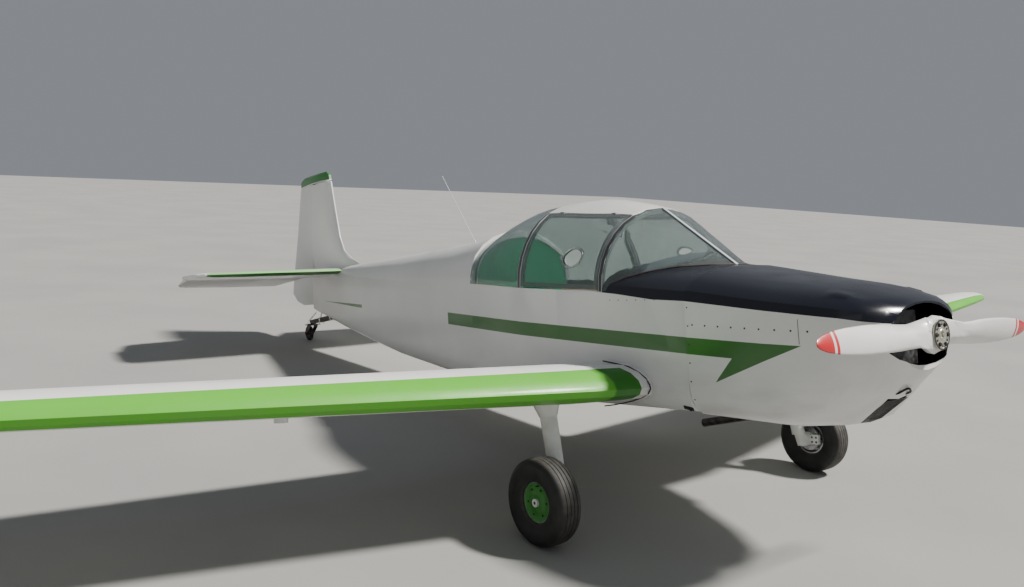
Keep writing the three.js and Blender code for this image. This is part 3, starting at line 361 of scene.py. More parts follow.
def flash_mask(s, w):
    """The flash: a band that ends in a barbed tip, and the dart near the tail."""
    tip, notch = FLASH_TOP[0], FLASH_FOOT[0]
    below_top = side_of(s, w, FLASH_TOP[1], tip)
    above_barb = side_of(s, w, tip, FLASH_BARB)
    above_foot = side_of(s, w, notch, FLASH_FOOT[1])
    ahead_of_barb = side_of(s, w, FLASH_BARB, notch)
    ahead_of_notch = side_of(s, w, (notch[0], -1), (notch[0], 1))
    in_front = side_of(s, w, (FLASH_REAR, -1), (FLASH_REAR, 1))
    behind_tip = side_of(s, w, (tip[0], 1), (tip[0], -1))
    lower_edge = any_of(above_foot, ahead_of_barb, ahead_of_notch)
    band = all_of(below_top, in_front, above_barb, lower_edge, behind_tip)
    end, high, low = TAIL_DART
    behind_start = side_of(s, w, (low[0], 1), (low[0], -1))
    dart = all_of(side_of(s, w, end, high), side_of(s, w, low, end), behind_start)
    return any_of(band, dart)


def painted(name, pattern=None, base=WHITE, roughness=0.28, coat=0.35, gloss_level=0.5):
    """Gloss paint on the airframe, with an optional pattern of other colours over the base."""
    paint = finish(name, base, roughness, Coat_Weight=coat, Coat_Roughness=0.12,
                   Specular_IOR_Level=gloss_level)
    place, x, s, w = coordinates(paint)
    colour = blend_colours(clouds(place, 1.7), base, tuple(c * SHADE for c in base))
    if pattern:
        colour = pattern(x, s, w, colour)
    streaks = clouds(place, 9, 0.42, 0.75, stretch=(1, 0.35, 1))
    # A greyer, browner tone in long streaks, growing towards the bottom of the airframe.
    low_tone = maths("MULTIPLY", ramp(w, *LOW_TONE_HEIGHTS, 1.0, 0.0), streaks)
    feed(paint, "Base Color", blend_colours(maths("MULTIPLY", low_tone, LOW_TONE_SHARE), colour, LOW_TONE))
    feed(paint, "Roughness", ramp(clouds(place, 5), 0.0, 1.0, roughness, roughness + 0.14))
    bumps(paint, clouds(place, 55, 0.3, 0.7, 2), 0.1, 0.0006)
    return paint


def with_flash(x, s, w, colour):
    colour = blend_colours(flash_mask(s, w), colour, FLASH_GREEN)
    # The walls of the intake recess are painted black, as painted shade.
    front, rear = INTAKE["s"]
    in_plan = all_of(below(maths("ABSOLUTE", x), INTAKE["x"]), above(s, front), below(s, rear))
    return blend_colours(all_of(in_plan, below(w, INTAKE["w"])), colour, (0.01, 0.01, 0.011))


hull_paint = painted("white_paint_with_flash", with_flash)
white_paint = painted("white_paint")
navy_paint = painted("navy_paint", base=NAVY, roughness=0.16, coat=0.15)
print("airframe paints:", hull_paint.name, white_paint.name, navy_paint.name)

# %% [markdown]
# The wing's leading edge carries a bright green band. Seen from above its rear edge runs straight,
# 17 cm behind the leading edge at the centreline and narrowing outwards. Near the root the band turns
# a darker green, and a white fairing follows it.

# %% Wing paint
WING_FRONT = 1.074
WING_SWEEP = 0.21
WING_KNEE = 0.95
BAND_DEPTH = 0.17
BAND_TAPER = 0.0253
ROOT_PANEL_X = 0.79
BAND_START_X = 0.612


def wing_band(x, s, w, colour):
    out = maths("ABSOLUTE", x)
    bent = maths("MULTIPLY", maths("MAXIMUM", out, WING_KNEE), WING_SWEEP)
    front = maths("ADD", bent, WING_FRONT + BAND_DEPTH)
    rear_edge = maths("SUBTRACT", front, maths("MULTIPLY", out, BAND_TAPER))
    green = blend_colours(past(out, ROOT_PANEL_X, 60.0), ROOT_GREEN, WING_GREEN)
    return blend_colours(maths("MULTIPLY", past(rear_edge, s), past(out, BAND_START_X)), colour, green)


wing_paint = painted("wing_paint", wing_band, roughness=0.36, coat=0.05, gloss_level=0.22)
print("wing paint:", wing_paint.name)

# %% [markdown]
# The tailplane repeats the band along its nose, 7 cm deep from the root to the tip. Its upper half is
# painted a pale green as painted sunlight, and its lower half a dark green as painted shade. The tip of
# the rudder is green too.

# %% Tail paint
TAIL_BAND = ((0.1, 5.7), (1.2, 5.757))
TAIL_BAND_END = 1.315
# Painted light on the tail band: a pale sunlit green on top, and the flash's dark green as painted shade
# underneath.
TAIL_LIGHT_SPLIT_W = 0.601
TAIL_SUNLIT_GREEN = (0.33, 0.62, 0.27)
CAP_FROM_W = 1.512
CAP_GREEN = (0.03, 0.19, 0.03)


def tail_band(x, s, w, colour):
    out = maths("ABSOLUTE", x)
    band = all_of(side_of(out, s, TAIL_BAND[1], TAIL_BAND[0]), below(out, TAIL_BAND_END))
    # The band is painted pale as sunlight above the nose line and dark green as painted shade below it.
    green = blend_colours(past(w, TAIL_LIGHT_SPLIT_W, 120.0), FLASH_GREEN, TAIL_SUNLIT_GREEN)
    return blend_colours(band, colour, green)


def rudder_cap(x, s, w, colour):
    return blend_colours(past(w, CAP_FROM_W), colour, CAP_GREEN)


tail_paint = painted("tailplane_paint", tail_band)
rudder_paint = painted("rudder_paint", rudder_cap)
print("tail paints:", tail_paint.name, rudder_paint.name)

# %% [markdown]
# The other finishes: acrylic with a faint smoky tint, black rubber dusted with earth and grass,
# satin black for the panel, green lining behind the seats, and several metals. A metal that has been
# handled outdoors is never even, so its gloss follows a noise.

# %% Acrylic, rubber and cloth
TRACK_HALF = 1.14
TREAD_EDGE = (0.046, 0.062)


def acrylic():
    """Clear acrylic with a faint haze in its gloss and its tint."""
    paint = finish("clear_acrylic", (0.93, 0.95, 0.94), 0.03, Transmission_Weight=0.93, IOR=1.42)
    place, *_ = coordinates(paint)
    haze = clouds(place, 6, 0.4, 0.9, stretch=(1, 3, 1))
    feed(paint, "Roughness", ramp(haze, 0.0, 1.0, 0.015, 0.09))
    feed(paint, "Base Color", blend_colours(haze, (0.6, 0.68, 0.67), (0.5, 0.58, 0.57)))
    return paint


def mottled(name, dark, light, roughness, metallic=0.0, scale=30, relief=0.0003, spread=0.15, **sockets):
    """A finish of two close tones whose gloss and relief follow the same noise."""
    paint = finish(name, dark, roughness, metallic, **sockets)
    place, *_ = coordinates(paint)
    mix = clouds(place, scale)
    feed(paint, "Base Color", blend_colours(mix, dark, light))
    feed(paint, "Roughness", ramp(mix, 0.0, 1.0, roughness, roughness + spread))
    bumps(paint, clouds(place, scale * 4, 0.2, 0.8), 0.25, relief)
    return paint


def tyre_finish():
    """Black rubber whose tread has worn to a dusty grey-brown."""
    paint = finish("tyre_rubber", (0.01, 0.01, 0.01), 0.62)
    place, x, *_ = coordinates(paint)
    across = maths("ABSOLUTE", maths("SUBTRACT", maths("ABSOLUTE", x), TRACK_HALF))
    dust = maths("MULTIPLY", ramp(across, *TREAD_EDGE, 1.0, 0.0), clouds(place, 24, 0.2, 0.7))
    black = blend_colours(clouds(place, 14), (0.007, 0.007, 0.007), (0.018, 0.018, 0.017))
    feed(paint, "Base Color", blend_colours(dust, black, (0.075, 0.068, 0.06)))
    bumps(paint, clouds(place, 120, 0.2, 0.8), 0.35, 0.001)
    return paint


def woven(name, dark, light):
    """Seat cloth: a weave of two bands of fine ribs under a cloudy tone."""
    paint = finish(name, dark, 0.85, Sheen_Weight=0.25)
    place, *_ = coordinates(paint)
    feed(paint, "Base Color", blend_colours(clouds(place, 12), dark, light))
    warp, weft = (
        step(place.id_data, "TexWave", place, 120.0, bands_direction=way).outputs[1]
        for way in ("X", "DIAGONAL")
    )
    bumps(paint, maths("MAXIMUM", warp, weft), 0.5, 0.0006)
    return paint


acrylic_finish = acrylic()
main_rubber = tyre_finish()
seat_cloth = woven("seat_cloth", (0.03, 0.034, 0.036), (0.05, 0.055, 0.058))

# %% Plain and metal finishes
rubber = mottled("tail_tyre_rubber", (0.01, 0.01, 0.01), (0.03, 0.029, 0.027), 0.66, relief=0.0004)
hub_brown = mottled("hub_brown", (0.1, 0.045, 0.03), (0.17, 0.085, 0.06), 0.5, scale=50)
seal_brown = mottled("seal_brown", (0.045, 0.018, 0.014), (0.07, 0.03, 0.024), 0.55)
seat_piping = mottled("seat_piping", (0.012, 0.09, 0.05), (0.018, 0.12, 0.065), 0.5)
ply = mottled("varnished_ply", (0.24, 0.13, 0.055), (0.34, 0.2, 0.09), 0.4, scale=9)
seal_rubber = mottled("seal_rubber", (0.01, 0.01, 0.011), (0.022, 0.022, 0.022), 0.6)
panel_black = mottled("panel_black", (0.012, 0.012, 0.013), (0.02, 0.02, 0.021), 0.48, relief=0.0002)
lining_green = mottled("lining_green", (0.003, 0.33, 0.15), (0.006, 0.42, 0.2), 0.75, scale=60)
cabin_grey = mottled("cabin_grey", (0.17, 0.18, 0.17), (0.22, 0.23, 0.22), 0.7, scale=22)
piping_white = mottled("piping", (0.55, 0.6, 0.55), (0.65, 0.7, 0.65), 0.55)
smoked_edge = mottled("smoked_edge", (0.28, 0.32, 0.32), (0.32, 0.36, 0.36), 0.18, spread=0.08,
                      Transmission_Weight=0.75, IOR=1.3)
bare_metal = mottled("bare_aluminium", (0.62, 0.63, 0.64), (0.46, 0.47, 0.48), 0.24, 1.0, scale=26)
engine_metal = mottled("engine_metal", (0.1, 0.1, 0.105), (0.19, 0.185, 0.18), 0.42, 1.0, scale=40)
steel = mottled("dark_steel", (0.055, 0.055, 0.058), (0.13, 0.12, 0.11), 0.38, 1.0, scale=35)
chrome = mottled("polished_steel", (0.6, 0.6, 0.61), (0.5, 0.5, 0.5), 0.16, 1.0, scale=22)
plate_metal = mottled("plate_metal", (0.6, 0.59, 0.5), (0.48, 0.48, 0.4), 0.34, 0.7, scale=40)
disc_green = mottled("wheel_green", (0.028, 0.17, 0.02), (0.04, 0.21, 0.03), 0.36, scale=18)
grip_rubber = mottled("grip_rubber", (0.012, 0.012, 0.012), (0.03, 0.03, 0.03), 0.7)
print("finishes so far:", len(bpy.data.materials))

# %% [markdown]
# The solids come from a loft of a few sections, so their facets would show in a gloss paint. A skin
# is a welded copy of a solid that is shaded as one curve and keeps its sharp edges, with a small
# rolled edge where two faces meet. The solid itself stays for the physics and isn't shown.

# %% Making and lining a skin
ROLLED_EDGE = 0.0012
AXIS_HEIGHT = 0.05
FACES_INWARDS = 0.45
SMALLEST_WALL = 0.004
SLIT_REACH = 0.01


def skin(node, paint, limit=30, edge=ROLLED_EDGE):
    """A smooth skin that stands for one solid."""
    body = frame["nodes"][node]["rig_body"]
    over = piece(node + "_skin", copy_of(node), paint, body, stands_for=(node,), limit=limit)
    if edge:
        rolled = over.modifiers.new("rolled edges", "BEVEL")
        rolled.width = edge
        rolled.segments = 2
        rolled.limit_method = "ANGLE"
        rolled.angle_limit = math.radians(limit)
        rolled.harden_normals = False
    return over


def line_inside(over, lining):
    """Gives the faces of a hollow skin that look towards the airframe's middle another finish."""
    over.data.materials.append(lining)
    for face in over.data.polygons:
        place, way = UNTILT @ face.center, UNTILT.to_3x3() @ face.normal
        inwards = Vector((-place.x, 0, AXIS_HEIGHT - place.z)).normalized()
        face.material_index = int(way.dot(inwards) > FACES_INWARDS)
    drop_specks(over.data.polygons)


def drop_specks(faces):
    """Turns patches of lining that are too small to be a wall back to the outer finish."""
    beside = {}
    for face in faces:
        for key in face.edge_keys:
            beside.setdefault(key, set()).add(face.index)
    left = {face.index for face in faces if face.material_index}
    while left:
        patch, queue = [], [left.pop()]
        while queue:
            here = queue.pop()
            patch.append(here)
            near = left & set().union(*(beside[key] for key in faces[here].edge_keys))
            left -= near
            queue.extend(near)
        if sum(faces[index].area for index in patch) < SMALLEST_WALL:
            for index in patch:
                faces[index].material_index = 0


def draw_together(over, places):
    """Merges the points of a skin that lie around each of a few places in airframe measures."""
    shape = bmesh.new()
    shape.from_mesh(over.data)
    for place in places:
        here = spot(*place)
        lips = [point for point in shape.verts if (point.co - here).length < SLIT_REACH]
        bmesh.ops.pointmerge(shape, verts=lips, merge_co=here)
        print("points drawn together:", len(lips))
    shape.to_mesh(over.data)
    shape.free()


# %% [markdown]
# A hollow skin gets a lining: its faces that look inwards take a second finish. Inside the cowls and
# the deck that finish is black, as painted shade, and in the cabin it is grey. The wall of the lower
# cowl thins to a slit beside its middle, so the lips of that slit are drawn together in two places.

# %% Skins over the faceted solids
SLIT = ((0.001, 0.1705, -0.2335), (0.0445, 0.171, -0.229))
# The inner faces of the lower cowl are painted black, as painted shade.
for node, lining in (("fuselage_tub", cabin_grey), ("rear_fuselage", None), ("cowl_lower", panel_black)):
    over = skin(node, hull_paint)
    if node == "cowl_lower":
        draw_together(over, SLIT)
    if lining:
        line_inside(over, lining)
for paint, slot, nodes in (
    (white_paint, "white_paint", ("roof_panel", "fin", "gear_leg_left", "gear_leg_right", "antenna")),
    (wing_paint, "white_paint", ("wing_left", "wing_right", "flap_left", "flap_right",
                                 "aileron_left", "aileron_right")),
    (tail_paint, "white_paint", ("tailplane", "elevator_left", "elevator_right")),
    (rudder_paint, "white_paint", ("rudder",)),
    (steel, "dark_steel", ("tail_spring", "tailwheel_fork", "exhaust_pipe")),
    (lining_green, "green_trim", ("cabin_rear_panel",)),
):
    for node in nodes:
        skin(node, paint)
# The insides of the upper cowl and the deck are painted black, as painted shade.
for node in ("cowl_upper", "front_deck"):
    line_inside(skin(node, navy_paint), panel_black)
for node in ("door_glass_left", "door_glass_right", "windscreen_left", "windscreen_right", "rear_window"):
    skin(node, acrylic_finish, limit=40, edge=0)
print("skins:", len(made))

# %% [markdown]
# Three solids are plain boards or blocks, and a skin would look no different from them. They stay in
# view, and only their finish is changed.

# %% Finishes for the solids that stay
for node, paint in (
    ("firewall", panel_black),
    ("instrument_panel", panel_black),
    ("engine_block", engine_metal),
):
    solid = frame["nodes"][node]
    solid.data.materials.clear()
    solid.data.materials.append(paint)
    print("solid shown:", node)

# %% [markdown]
# Small parts have to lie on a curved skin. A ray that is shot square at the solid finds the point and
# the way the surface faces there, so a screw or a strip can be set on it wherever s and w say.

# %% Finding a place on a surface
def surface_of(*nodes):
    """The joined surface of some solids, ready for rays."""
    shape = bmesh.new()
    for node in nodes:
        shape.from_mesh(frame["nodes"][node].data)
    tree = BVHTree.FromBMesh(shape)
    shape.free()
    return tree


def on_surface(tree, start, direction, lift=0.0):
    """Where a ray first meets the surface, lifted off it, and the way that the surface faces."""
    hit, normal, *_ = tree.ray_cast(start, direction.normalized())
    if hit is None:
        return None, None
    normal = normal if normal.dot(direction) < 0 else -normal
    return hit + normal * lift, normal


def on_side(tree, side, s, w, lift=0.0):
    """A point of the side that faces port (1) or starboard (-1)."""
    return on_surface(tree, spot(2 * side, s, w), Vector((-side, 0, 0)), lift)


def on_top(tree, x, s):
    return on_surface(tree, spot(x, s, 3), spot(0, 0, 0) - spot(0, 0, 1))


# %% [markdown]
# Anything round is an outline spun about an axis, as a potter or a lathe would make it. A tube or a
# bead is a curve with a round bevel. A row of screws is one small turned head, copied to each place
# and turned to face the way the skin faces.

# %% Turned parts, blocks and rods
def turned(outline, steps=48, closed=False):
    """Spins an outline of (along, radius) about the X axis."""
    shape = bmesh.new()
    points = [shape.verts.new((along, 0, radius)) for along, radius in outline]
    edges = [shape.edges.new(pair) for pair in zip(points, points[1:])]
    if closed:
        edges.append(shape.edges.new((points[-1], points[0])))
    bmesh.ops.spin(shape, geom=points + edges, cent=(0, 0, 0), axis=(1, 0, 0),
                   angle=2 * math.pi, steps=steps, use_merge=True)
    return outwards(shape)


def facing(point, direction):
    """The matrix that carries a part made along X to a point, facing a direction."""
    return move(*point) @ direction.to_track_quat("X", "Z").to_matrix().to_4x4()


def block(low, high, edge=0.0, segments=2):
    """A box between two corners, its edges rounded off."""
    low, high = Vector(low), Vector(high)
    shape = bmesh.new()
    bmesh.ops.create_cube(shape, size=1)
    bmesh.ops.scale(shape, vec=high - low, verts=shape.verts)
    bmesh.ops.translate(shape, vec=(high + low) / 2, verts=shape.verts)
    if edge:
        bmesh.ops.bevel(shape, geom=shape.edges[:], offset=edge, segments=segments,
                        affect="EDGES", profile=0.5, material=-1)
    return shape


def rod(radius, length, edge=0.0, sides=24):
    """A round bar along X from 0 to length, its rims rounded off."""
    square = [(0, 0), (0, radius), (length, radius), (length, 0)]
    rounded = [(0, 0), (0, radius - edge), (edge, radius), (length - edge, radius),
               (length, radius - edge), (length, 0)]
    return turned(rounded if edge else square, sides)


# %% Joining and setting in a ring
def joined(shapes):
    """Several bmeshes as one."""
    whole = bmesh.new()
    for shape in shapes:
        part = mesh_of("part", shape)
        whole.from_mesh(part)
        bpy.data.meshes.remove(part)
    return whole


def ring_of(shape_maker, count, radius, start=0.0):
    """Copies of a part at equal angles round the X axis."""
    return joined([placed(shape_maker(), rotate(start + angle, "X") @ move(0, 0, radius))
                   for angle in angles(count)])


def hexagon(radius, height):
    """A bolt head along X with a washer under it."""
    head = [(0.001, 0), (0.001, radius), (height - 0.001, radius), (height, radius * 0.86), (height, 0)]
    washer = [(0, 0), (0, radius * 1.25), (0.0012, radius * 1.25), (0.0012, 0)]
    return joined([turned(washer, 20), turned(head, 6)])


# %% Tubes and fasteners
def tube(name, points, radius, paint, body="airframe", closed=False, sides=4):
    """A round bead along a line of points. One with no body is only a step towards a mesh."""
    line = bpy.data.curves.new(name, "CURVE")
    line.dimensions = "3D"
    line.bevel_depth = radius
    line.bevel_resolution = sides
    line.use_fill_caps = not closed
    spline = line.splines.new("POLY")
    spline.points.add(len(points) - 1)
    for place, point in zip(spline.points, points):
        place.co = (*point, 1)
    spline.use_cyclic_u = closed
    spline.use_smooth = True
    line.materials.append(paint)
    bead = add(name, line)
    return bead if body is None else enlist(bead, body)


def rubber_bead(name, points, radius, sides=3):
    """A thin tube of black rubber, as for seals, pipes and seams."""
    return tube(name, points, radius, seal_rubber, sides=sides)


def fasteners(name, places, radius, height=0.0016):
    """Low domed screw heads of dark steel at a list of (point, direction)."""
    outline = [(-0.001, radius), (height * 0.5, radius), (height, radius * 0.6), (height, 0)]
    heads = [placed(turned(outline, 12), facing(*place)) for place in places if place[0] is not None]
    return piece(name, joined(heads), steel)


def through(points, between=6):
    """A smooth line through a few points, with more points between them."""
    ends = [points[0], *points, points[-1]]
    line = []
    for a, b, c, d in zip(ends, ends[1:], ends[2:], ends[3:]):
        for index in range(between):
            u = index / between
            line.append(0.5 * (2 * b + (c - a) * u + (2 * a - 5 * b + 4 * c - d) * u ** 2
                               + (3 * b - a - 3 * c + d) * u ** 3))
    return line + [points[-1]]


def centre_of(node):
    low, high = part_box(node)
    return (low + high) / 2


print("helpers ready")

# %% [markdown]
# The main tyres are small, fat and ribbed. Half of the section is drawn from the bead over the wall to
# the tread, with four grooves cut in it, then mirrored and spun.

# %% Main tyres
TYRE_RADIUS = 0.219
TREAD_CROWN = 0.9
GROOVES = (0.011, 0.033)
GROOVE_HALF = 0.0022
GROOVE_DEPTH = 0.003
TYRE_WALL = [(0.0455, 0.1004), (0.053, 0.1035), (0.0655, 0.121), (0.0735, 0.148), (0.0748, 0.168),
             (0.0715, 0.189), (0.07, 0.1905), (0.0655, 0.2025), (0.058, 0.2105), (0.0505, 0.2145)]


def both_halves(half):
    """An outline of (along, radius) and its mirror image, with a point on the middle plane kept once."""
    return half + [(-along, radius) for along, radius in reversed(half) if along]


def tyre_outline():
    tread = []
    for groove in reversed(GROOVES):
        crown = TYRE_RADIUS - TREAD_CROWN * groove ** 2
        floor_half = GROOVE_HALF * 0.6
        tread += [(groove + GROOVE_HALF, crown), (groove + floor_half, crown - GROOVE_DEPTH),
                  (groove - floor_half, crown - GROOVE_DEPTH), (groove - GROOVE_HALF, crown)]
    return both_halves(TYRE_WALL + tread)


for hand, side in HANDS:
    piece(f"ribbed_tyre_{hand}", turned(tyre_outline(), 96, closed=True), main_rubber, f"{hand}_wheel",
          move(*centre_of(f"tyre_{hand}")), stands_for=(f"tyre_{hand}",), limit=28)
print("tyre:", TYRE_RADIUS * 2, "m across")

# %% [markdown]
# Each wheel is a cast rim. Outboard it is closed by a green disc with small bolts and the end of the
# axle in a bright cap; inboard the bare rim shows, with its brake disc and the ribs round the hub.

# %% Main wheels
RIM_OUTLINE = [(-0.0455, 0.1), (-0.0455, 0.0925), (-0.04, 0.0885), (-0.03, 0.0865), (-0.012, 0.0865),
               (-0.008, 0.083), (-0.01, 0.052), (-0.032, 0.046), (-0.0515, 0.046), (-0.0515, 0.0215),
               (0.043, 0.0215), (0.042, 0.04), (0.03, 0.0865), (0.0455, 0.0925), (0.0455, 0.1),
               (0.04, 0.0985), (0.034, 0.0885), (-0.034, 0.0885), (-0.04, 0.0985)]
DISC_OUTLINE = [(-0.0565, 0.04), (-0.0565, 0.076), (-0.0525, 0.076), (-0.0525, 0.04)]
COVER_OUTLINE = [(0.036, 0.012), (0.0355, 0.088), (0.04, 0.0935), (0.0458, 0.0975), (0.0468, 0.0965),
                 (0.0445, 0.091), (0.0405, 0.084), (0.041, 0.052), (0.0445, 0.046), (0.0455, 0.038),
                 (0.0455, 0.012)]
CAP_OUTLINE = [(0.045, 0.0085), (0.045, 0.019), (0.0545, 0.019), (0.056, 0.0175), (0.056, 0.0085)]
HUB_RIB = ((-0.03, -0.003, -0.018), (-0.01, 0.003, 0.018), 0.001)


def cover_bolt():
    return placed(hexagon(0.0045, 0.005), move(0.0405, 0, 0))


for hand, side in HANDS:
    centre = move(*centre_of(f"tyre_{hand}")) @ mirror(side)
    body = f"{hand}_wheel"
    rim = joined([turned(RIM_OUTLINE, 72, closed=True), ring_of(lambda: block(*HUB_RIB), 8, 0.067)])
    piece(f"cast_rim_{hand}", rim, bare_metal, body, centre, stands_for=(f"wheel_{hand}",))
    for name, shape, paint, rides, slot in (
        ("brake_disc", turned(DISC_OUTLINE, 64, closed=True), chrome, body, "dark_steel"),
        ("wheel_cover", turned(COVER_OUTLINE, 72, closed=True), disc_green, body, "green_trim"),
        ("wheel_bolts", ring_of(cover_bolt, 6, 0.07, 0.3), steel, body, None),
        ("axle_cap", turned(CAP_OUTLINE, 40, closed=True), white_paint, body, None),
        # A thin black disc on the axle end stands for the hole there: painted shade.
        ("axle_hole_shade", placed(rod(0.008, 0.0008, 0.0002), move(0.0577, 0, 0)), panel_black, "airframe", None),
        ("tyre_valve", placed(rod(0.0035, 0.02, 0.001, 12), move(0.04, 0, 0.084)), steel, body, None),
    ):
        piece(f"{name}_{hand}", shape, paint, rides, centre)
print("wheel parts:", sum("left" in p.name for p in made))

# %% [markdown]
# The propeller is a laminated wooden one, filled and sprayed white. Its red tip and two fine red
# stripes are rings of colour at fixed distances from the hub, so the paint measures the distance from
# the propeller's own axis. The solid's sections are good but few, so the skin is subdivided.

# %% Propeller
TIP_RED_FROM = 0.801
STRIPE = (0.768, 0.786)
RED = (0.55, 0.012, 0.018)
BLADE_WHITE = (0.78, 0.765, 0.745)


def propeller_colours(x, s, w, colour):
    out = maths("SQRT", maths("ADD", maths("MULTIPLY", x, x), maths("MULTIPLY", w, w)))
    ring = all_of(above(out, STRIPE[0]), below(out, STRIPE[1]))
    return blend_colours(any_of(above(out, TIP_RED_FROM), ring), colour, RED)


propeller_paint = painted("propeller_paint", propeller_colours, base=BLADE_WHITE, roughness=0.34)
blades = skin("propeller", propeller_paint, limit=75, edge=0)
rounder = blades.modifiers.new("rounder blades", "SUBSURF")
rounder.levels = rounder.render_levels = 1
print("propeller tip is red from", TIP_RED_FROM, "m outwards")

# %% [markdown]
# A round plate squeezes the wooden hub. Six bolts go through it with six pins between them, and a
# thin wire locks the bolt heads. All of it is made along X and carried to the propeller's axis.

# %% Hub plate
PROP_TILT = rotate(math.radians(1.45), "Y")
PLATE_BACK = 0.0217
ON_HUB = TILT @ PROP_TILT @ move(0, PLATE_BACK, 0) @ rotate(-QUARTER, "Z")
BOLT_CIRCLE = 0.049
PLATE = [(0.000, 0), (0.000, 0.0685), (0.0065, 0.069), (0.0085, 0.0675), (0.0088, 0.06), (0.0072, 0.058),
         (0.0072, 0.04), (0.0088, 0.038), (0.0088, 0.026), (0.0105, 0.024), (0.0105, 0.016),
         (0.003, 0.0145), (0.003, 0)]
PLATE_RIM = [(0.007, 0.0605), (0.007, 0.0688), (0.0094, 0.068), (0.0094, 0.0612)]
piece("crush_plate", turned(PLATE, 72), plate_metal, "propeller", ON_HUB, ("hub_plate",))
bolts = ring_of(lambda: placed(hexagon(0.0085, 0.0085), move(0.0078, 0, 0)), 6, BOLT_CIRCLE, math.pi / 6)
pins = ring_of(lambda: placed(rod(0.0052, 0.0016, 0.0003, 16), move(0.0073, 0, 0)), 6, BOLT_CIRCLE)
for name, shape, paint in (
    ("plate_rim", turned(PLATE_RIM, 72, closed=True), steel),
    ("propeller_bolts", bolts, steel),
    ("plate_pins", pins, seal_rubber),
):
    piece(name, shape, paint, "propeller", ON_HUB)
wire = [ON_HUB @ Vector((0.0125, BOLT_CIRCLE * math.sin(a), BOLT_CIRCLE * math.cos(a))) for a in angles(60)]
tube("lock_wire", wire, 0.0007, chrome, "propeller", closed=True, sides=2)
print("propeller and hub plate done")

# %% [markdown]
# Through the two mouths of the cowl one sees the front cylinders of a flat engine, all thin cooling
# fins, over black baffles. A fin is a thin disc; a cylinder is a row of them on a barrel.

# %% Engine seen through the mouths
FIN_COUNT = 15
SMALL_FINS = 7
SMALLER_BY = 0.012
BARREL_RADIUS = 0.048
CYLINDER = {"s": 0.245, "w": 0.015, "from": 0.125, "to": 0.352, "radius": 0.07}


def finned_cylinder():
    spread = CYLINDER["to"] - CYLINDER["from"]
    fins = []
    for index in range(FIN_COUNT):
        along = 0.006 + index * (spread - 0.014) / (FIN_COUNT - 1)
        radius = CYLINDER["radius"] - SMALLER_BY * (index < SMALL_FINS)
        fins.append(placed(rod(radius, 0.0022, 0.0006, 32), move(along, 0, 0)))
    return joined([rod(BARREL_RADIUS, spread, 0.004, 32), *fins])


for hand, side in HANDS:
    at = TILT @ mirror(side)
    cylinder_at = at @ move(CYLINDER["from"], CYLINDER["s"], CYLINDER["w"])
    piece(f"cylinder_{hand}", finned_cylinder(), engine_metal, place=cylinder_at)
    box = block((CYLINDER["to"] - 0.02, 0.19, -0.05), (CYLINDER["to"] + 0.02, 0.31, 0.075), 0.012)
    piece(f"rocker_box_{hand}", box, steel, place=at)
shaft_housing = placed(rod(0.052, 0.115, 0.008, 40), move(0, 0.105, 0) @ rotate(QUARTER, "Z"))
crankcase = joined([shaft_housing, block((-0.1, 0.2, -0.15), (0.1, 0.29, 0.11), 0.02, 3)])
piece("crankcase_nose", crankcase, engine_metal, place=TILT)
print("fins on each cylinder:", FIN_COUNT)

# %% [markdown]
# Under the chin a small square intake is closed with black wire mesh, and beside it a bent breather
# pipe looks out. The mesh is a grid of round wires.

# %% Chin intake and breather
MESH_HALF = 0.086
MESH_WIRES = 12
MESH_LOW, MESH_HIGH = Vector((0, 0.3755, -0.4065)), Vector((0, 0.24, -0.301))
WIRE_RADIUS = 0.0011
run = MESH_HIGH - MESH_LOW
wires = []
for share in shares(MESH_WIRES):
    across = TILT @ move(*(MESH_LOW + run * share - Vector((MESH_HALF, 0, 0))))
    wires.append(placed(rod(WIRE_RADIUS, 2 * MESH_HALF, 0, 6), across))
    start = MESH_LOW + Vector(((share * 2 - 1) * MESH_HALF, 0, 0))
    wires.append(placed(rod(WIRE_RADIUS, run.length, 0, 6), TILT @ facing(start, run)))
piece("intake_mesh", joined(wires), engine_metal)
half = MESH_HALF + 0.001
corners = [spot(x, end.y, end.z) for x, end in
           ((-half, MESH_LOW), (half, MESH_LOW), (half, MESH_HIGH), (-half, MESH_HIGH))]
tube("intake_frame", corners, 0.0022, engine_metal, closed=True, sides=3)
BREATHER = [(-0.06, 0.213, -0.266), (-0.052, 0.203, -0.264), (-0.047, 0.186, -0.254), (-0.04, 0.17, -0.244),
            (-0.018, 0.168, -0.246), (0.02, 0.186, -0.264), (0.046, 0.222, -0.278)]
rubber_bead("breather_pipe", through([spot(*p) for p in BREATHER]), 0.0052, sides=4)
print("wires in the mesh:", len(wires))

# %% [markdown]
# The joints of the cowl are held by a row of dark quarter-turn screws just under the dark upper half,
# and by a latch low on the firewall seam. The rays find the skin; the screws are copies of one head.

# %% Cowl fasteners, latch and seam
SCREW_ROWS = (
    ("cowl_screws", (0.985, 0.083), (0.385, 0.044), 9, 0.0048),
    ("seam_screws", (1.012, 0.17), (1.012, -0.29), 6, 0.0042),
    ("deck_screws", (1.1, 0.212), (1.56, 0.222), 8, 0.0034),
)
LATCH = (1.058, -0.335)
SECOND_SEAM_S = 0.425
hull_surface = surface_of("fuselage_tub", "rear_fuselage", "cowl_lower", "cowl_upper", "front_deck")


def cowl_latch():
    return joined([
        block((-0.001, -0.03, -0.01), (0.004, 0.03, 0.01), 0.0018),
        placed(rod(0.0075, 0.012, 0.001, 20), move(0, 0.017, 0)),
        placed(rod(0.0045, 0.036, 0.001, 16), move(0.008, -0.022, 0) @ rotate(QUARTER, "Z")),
    ])


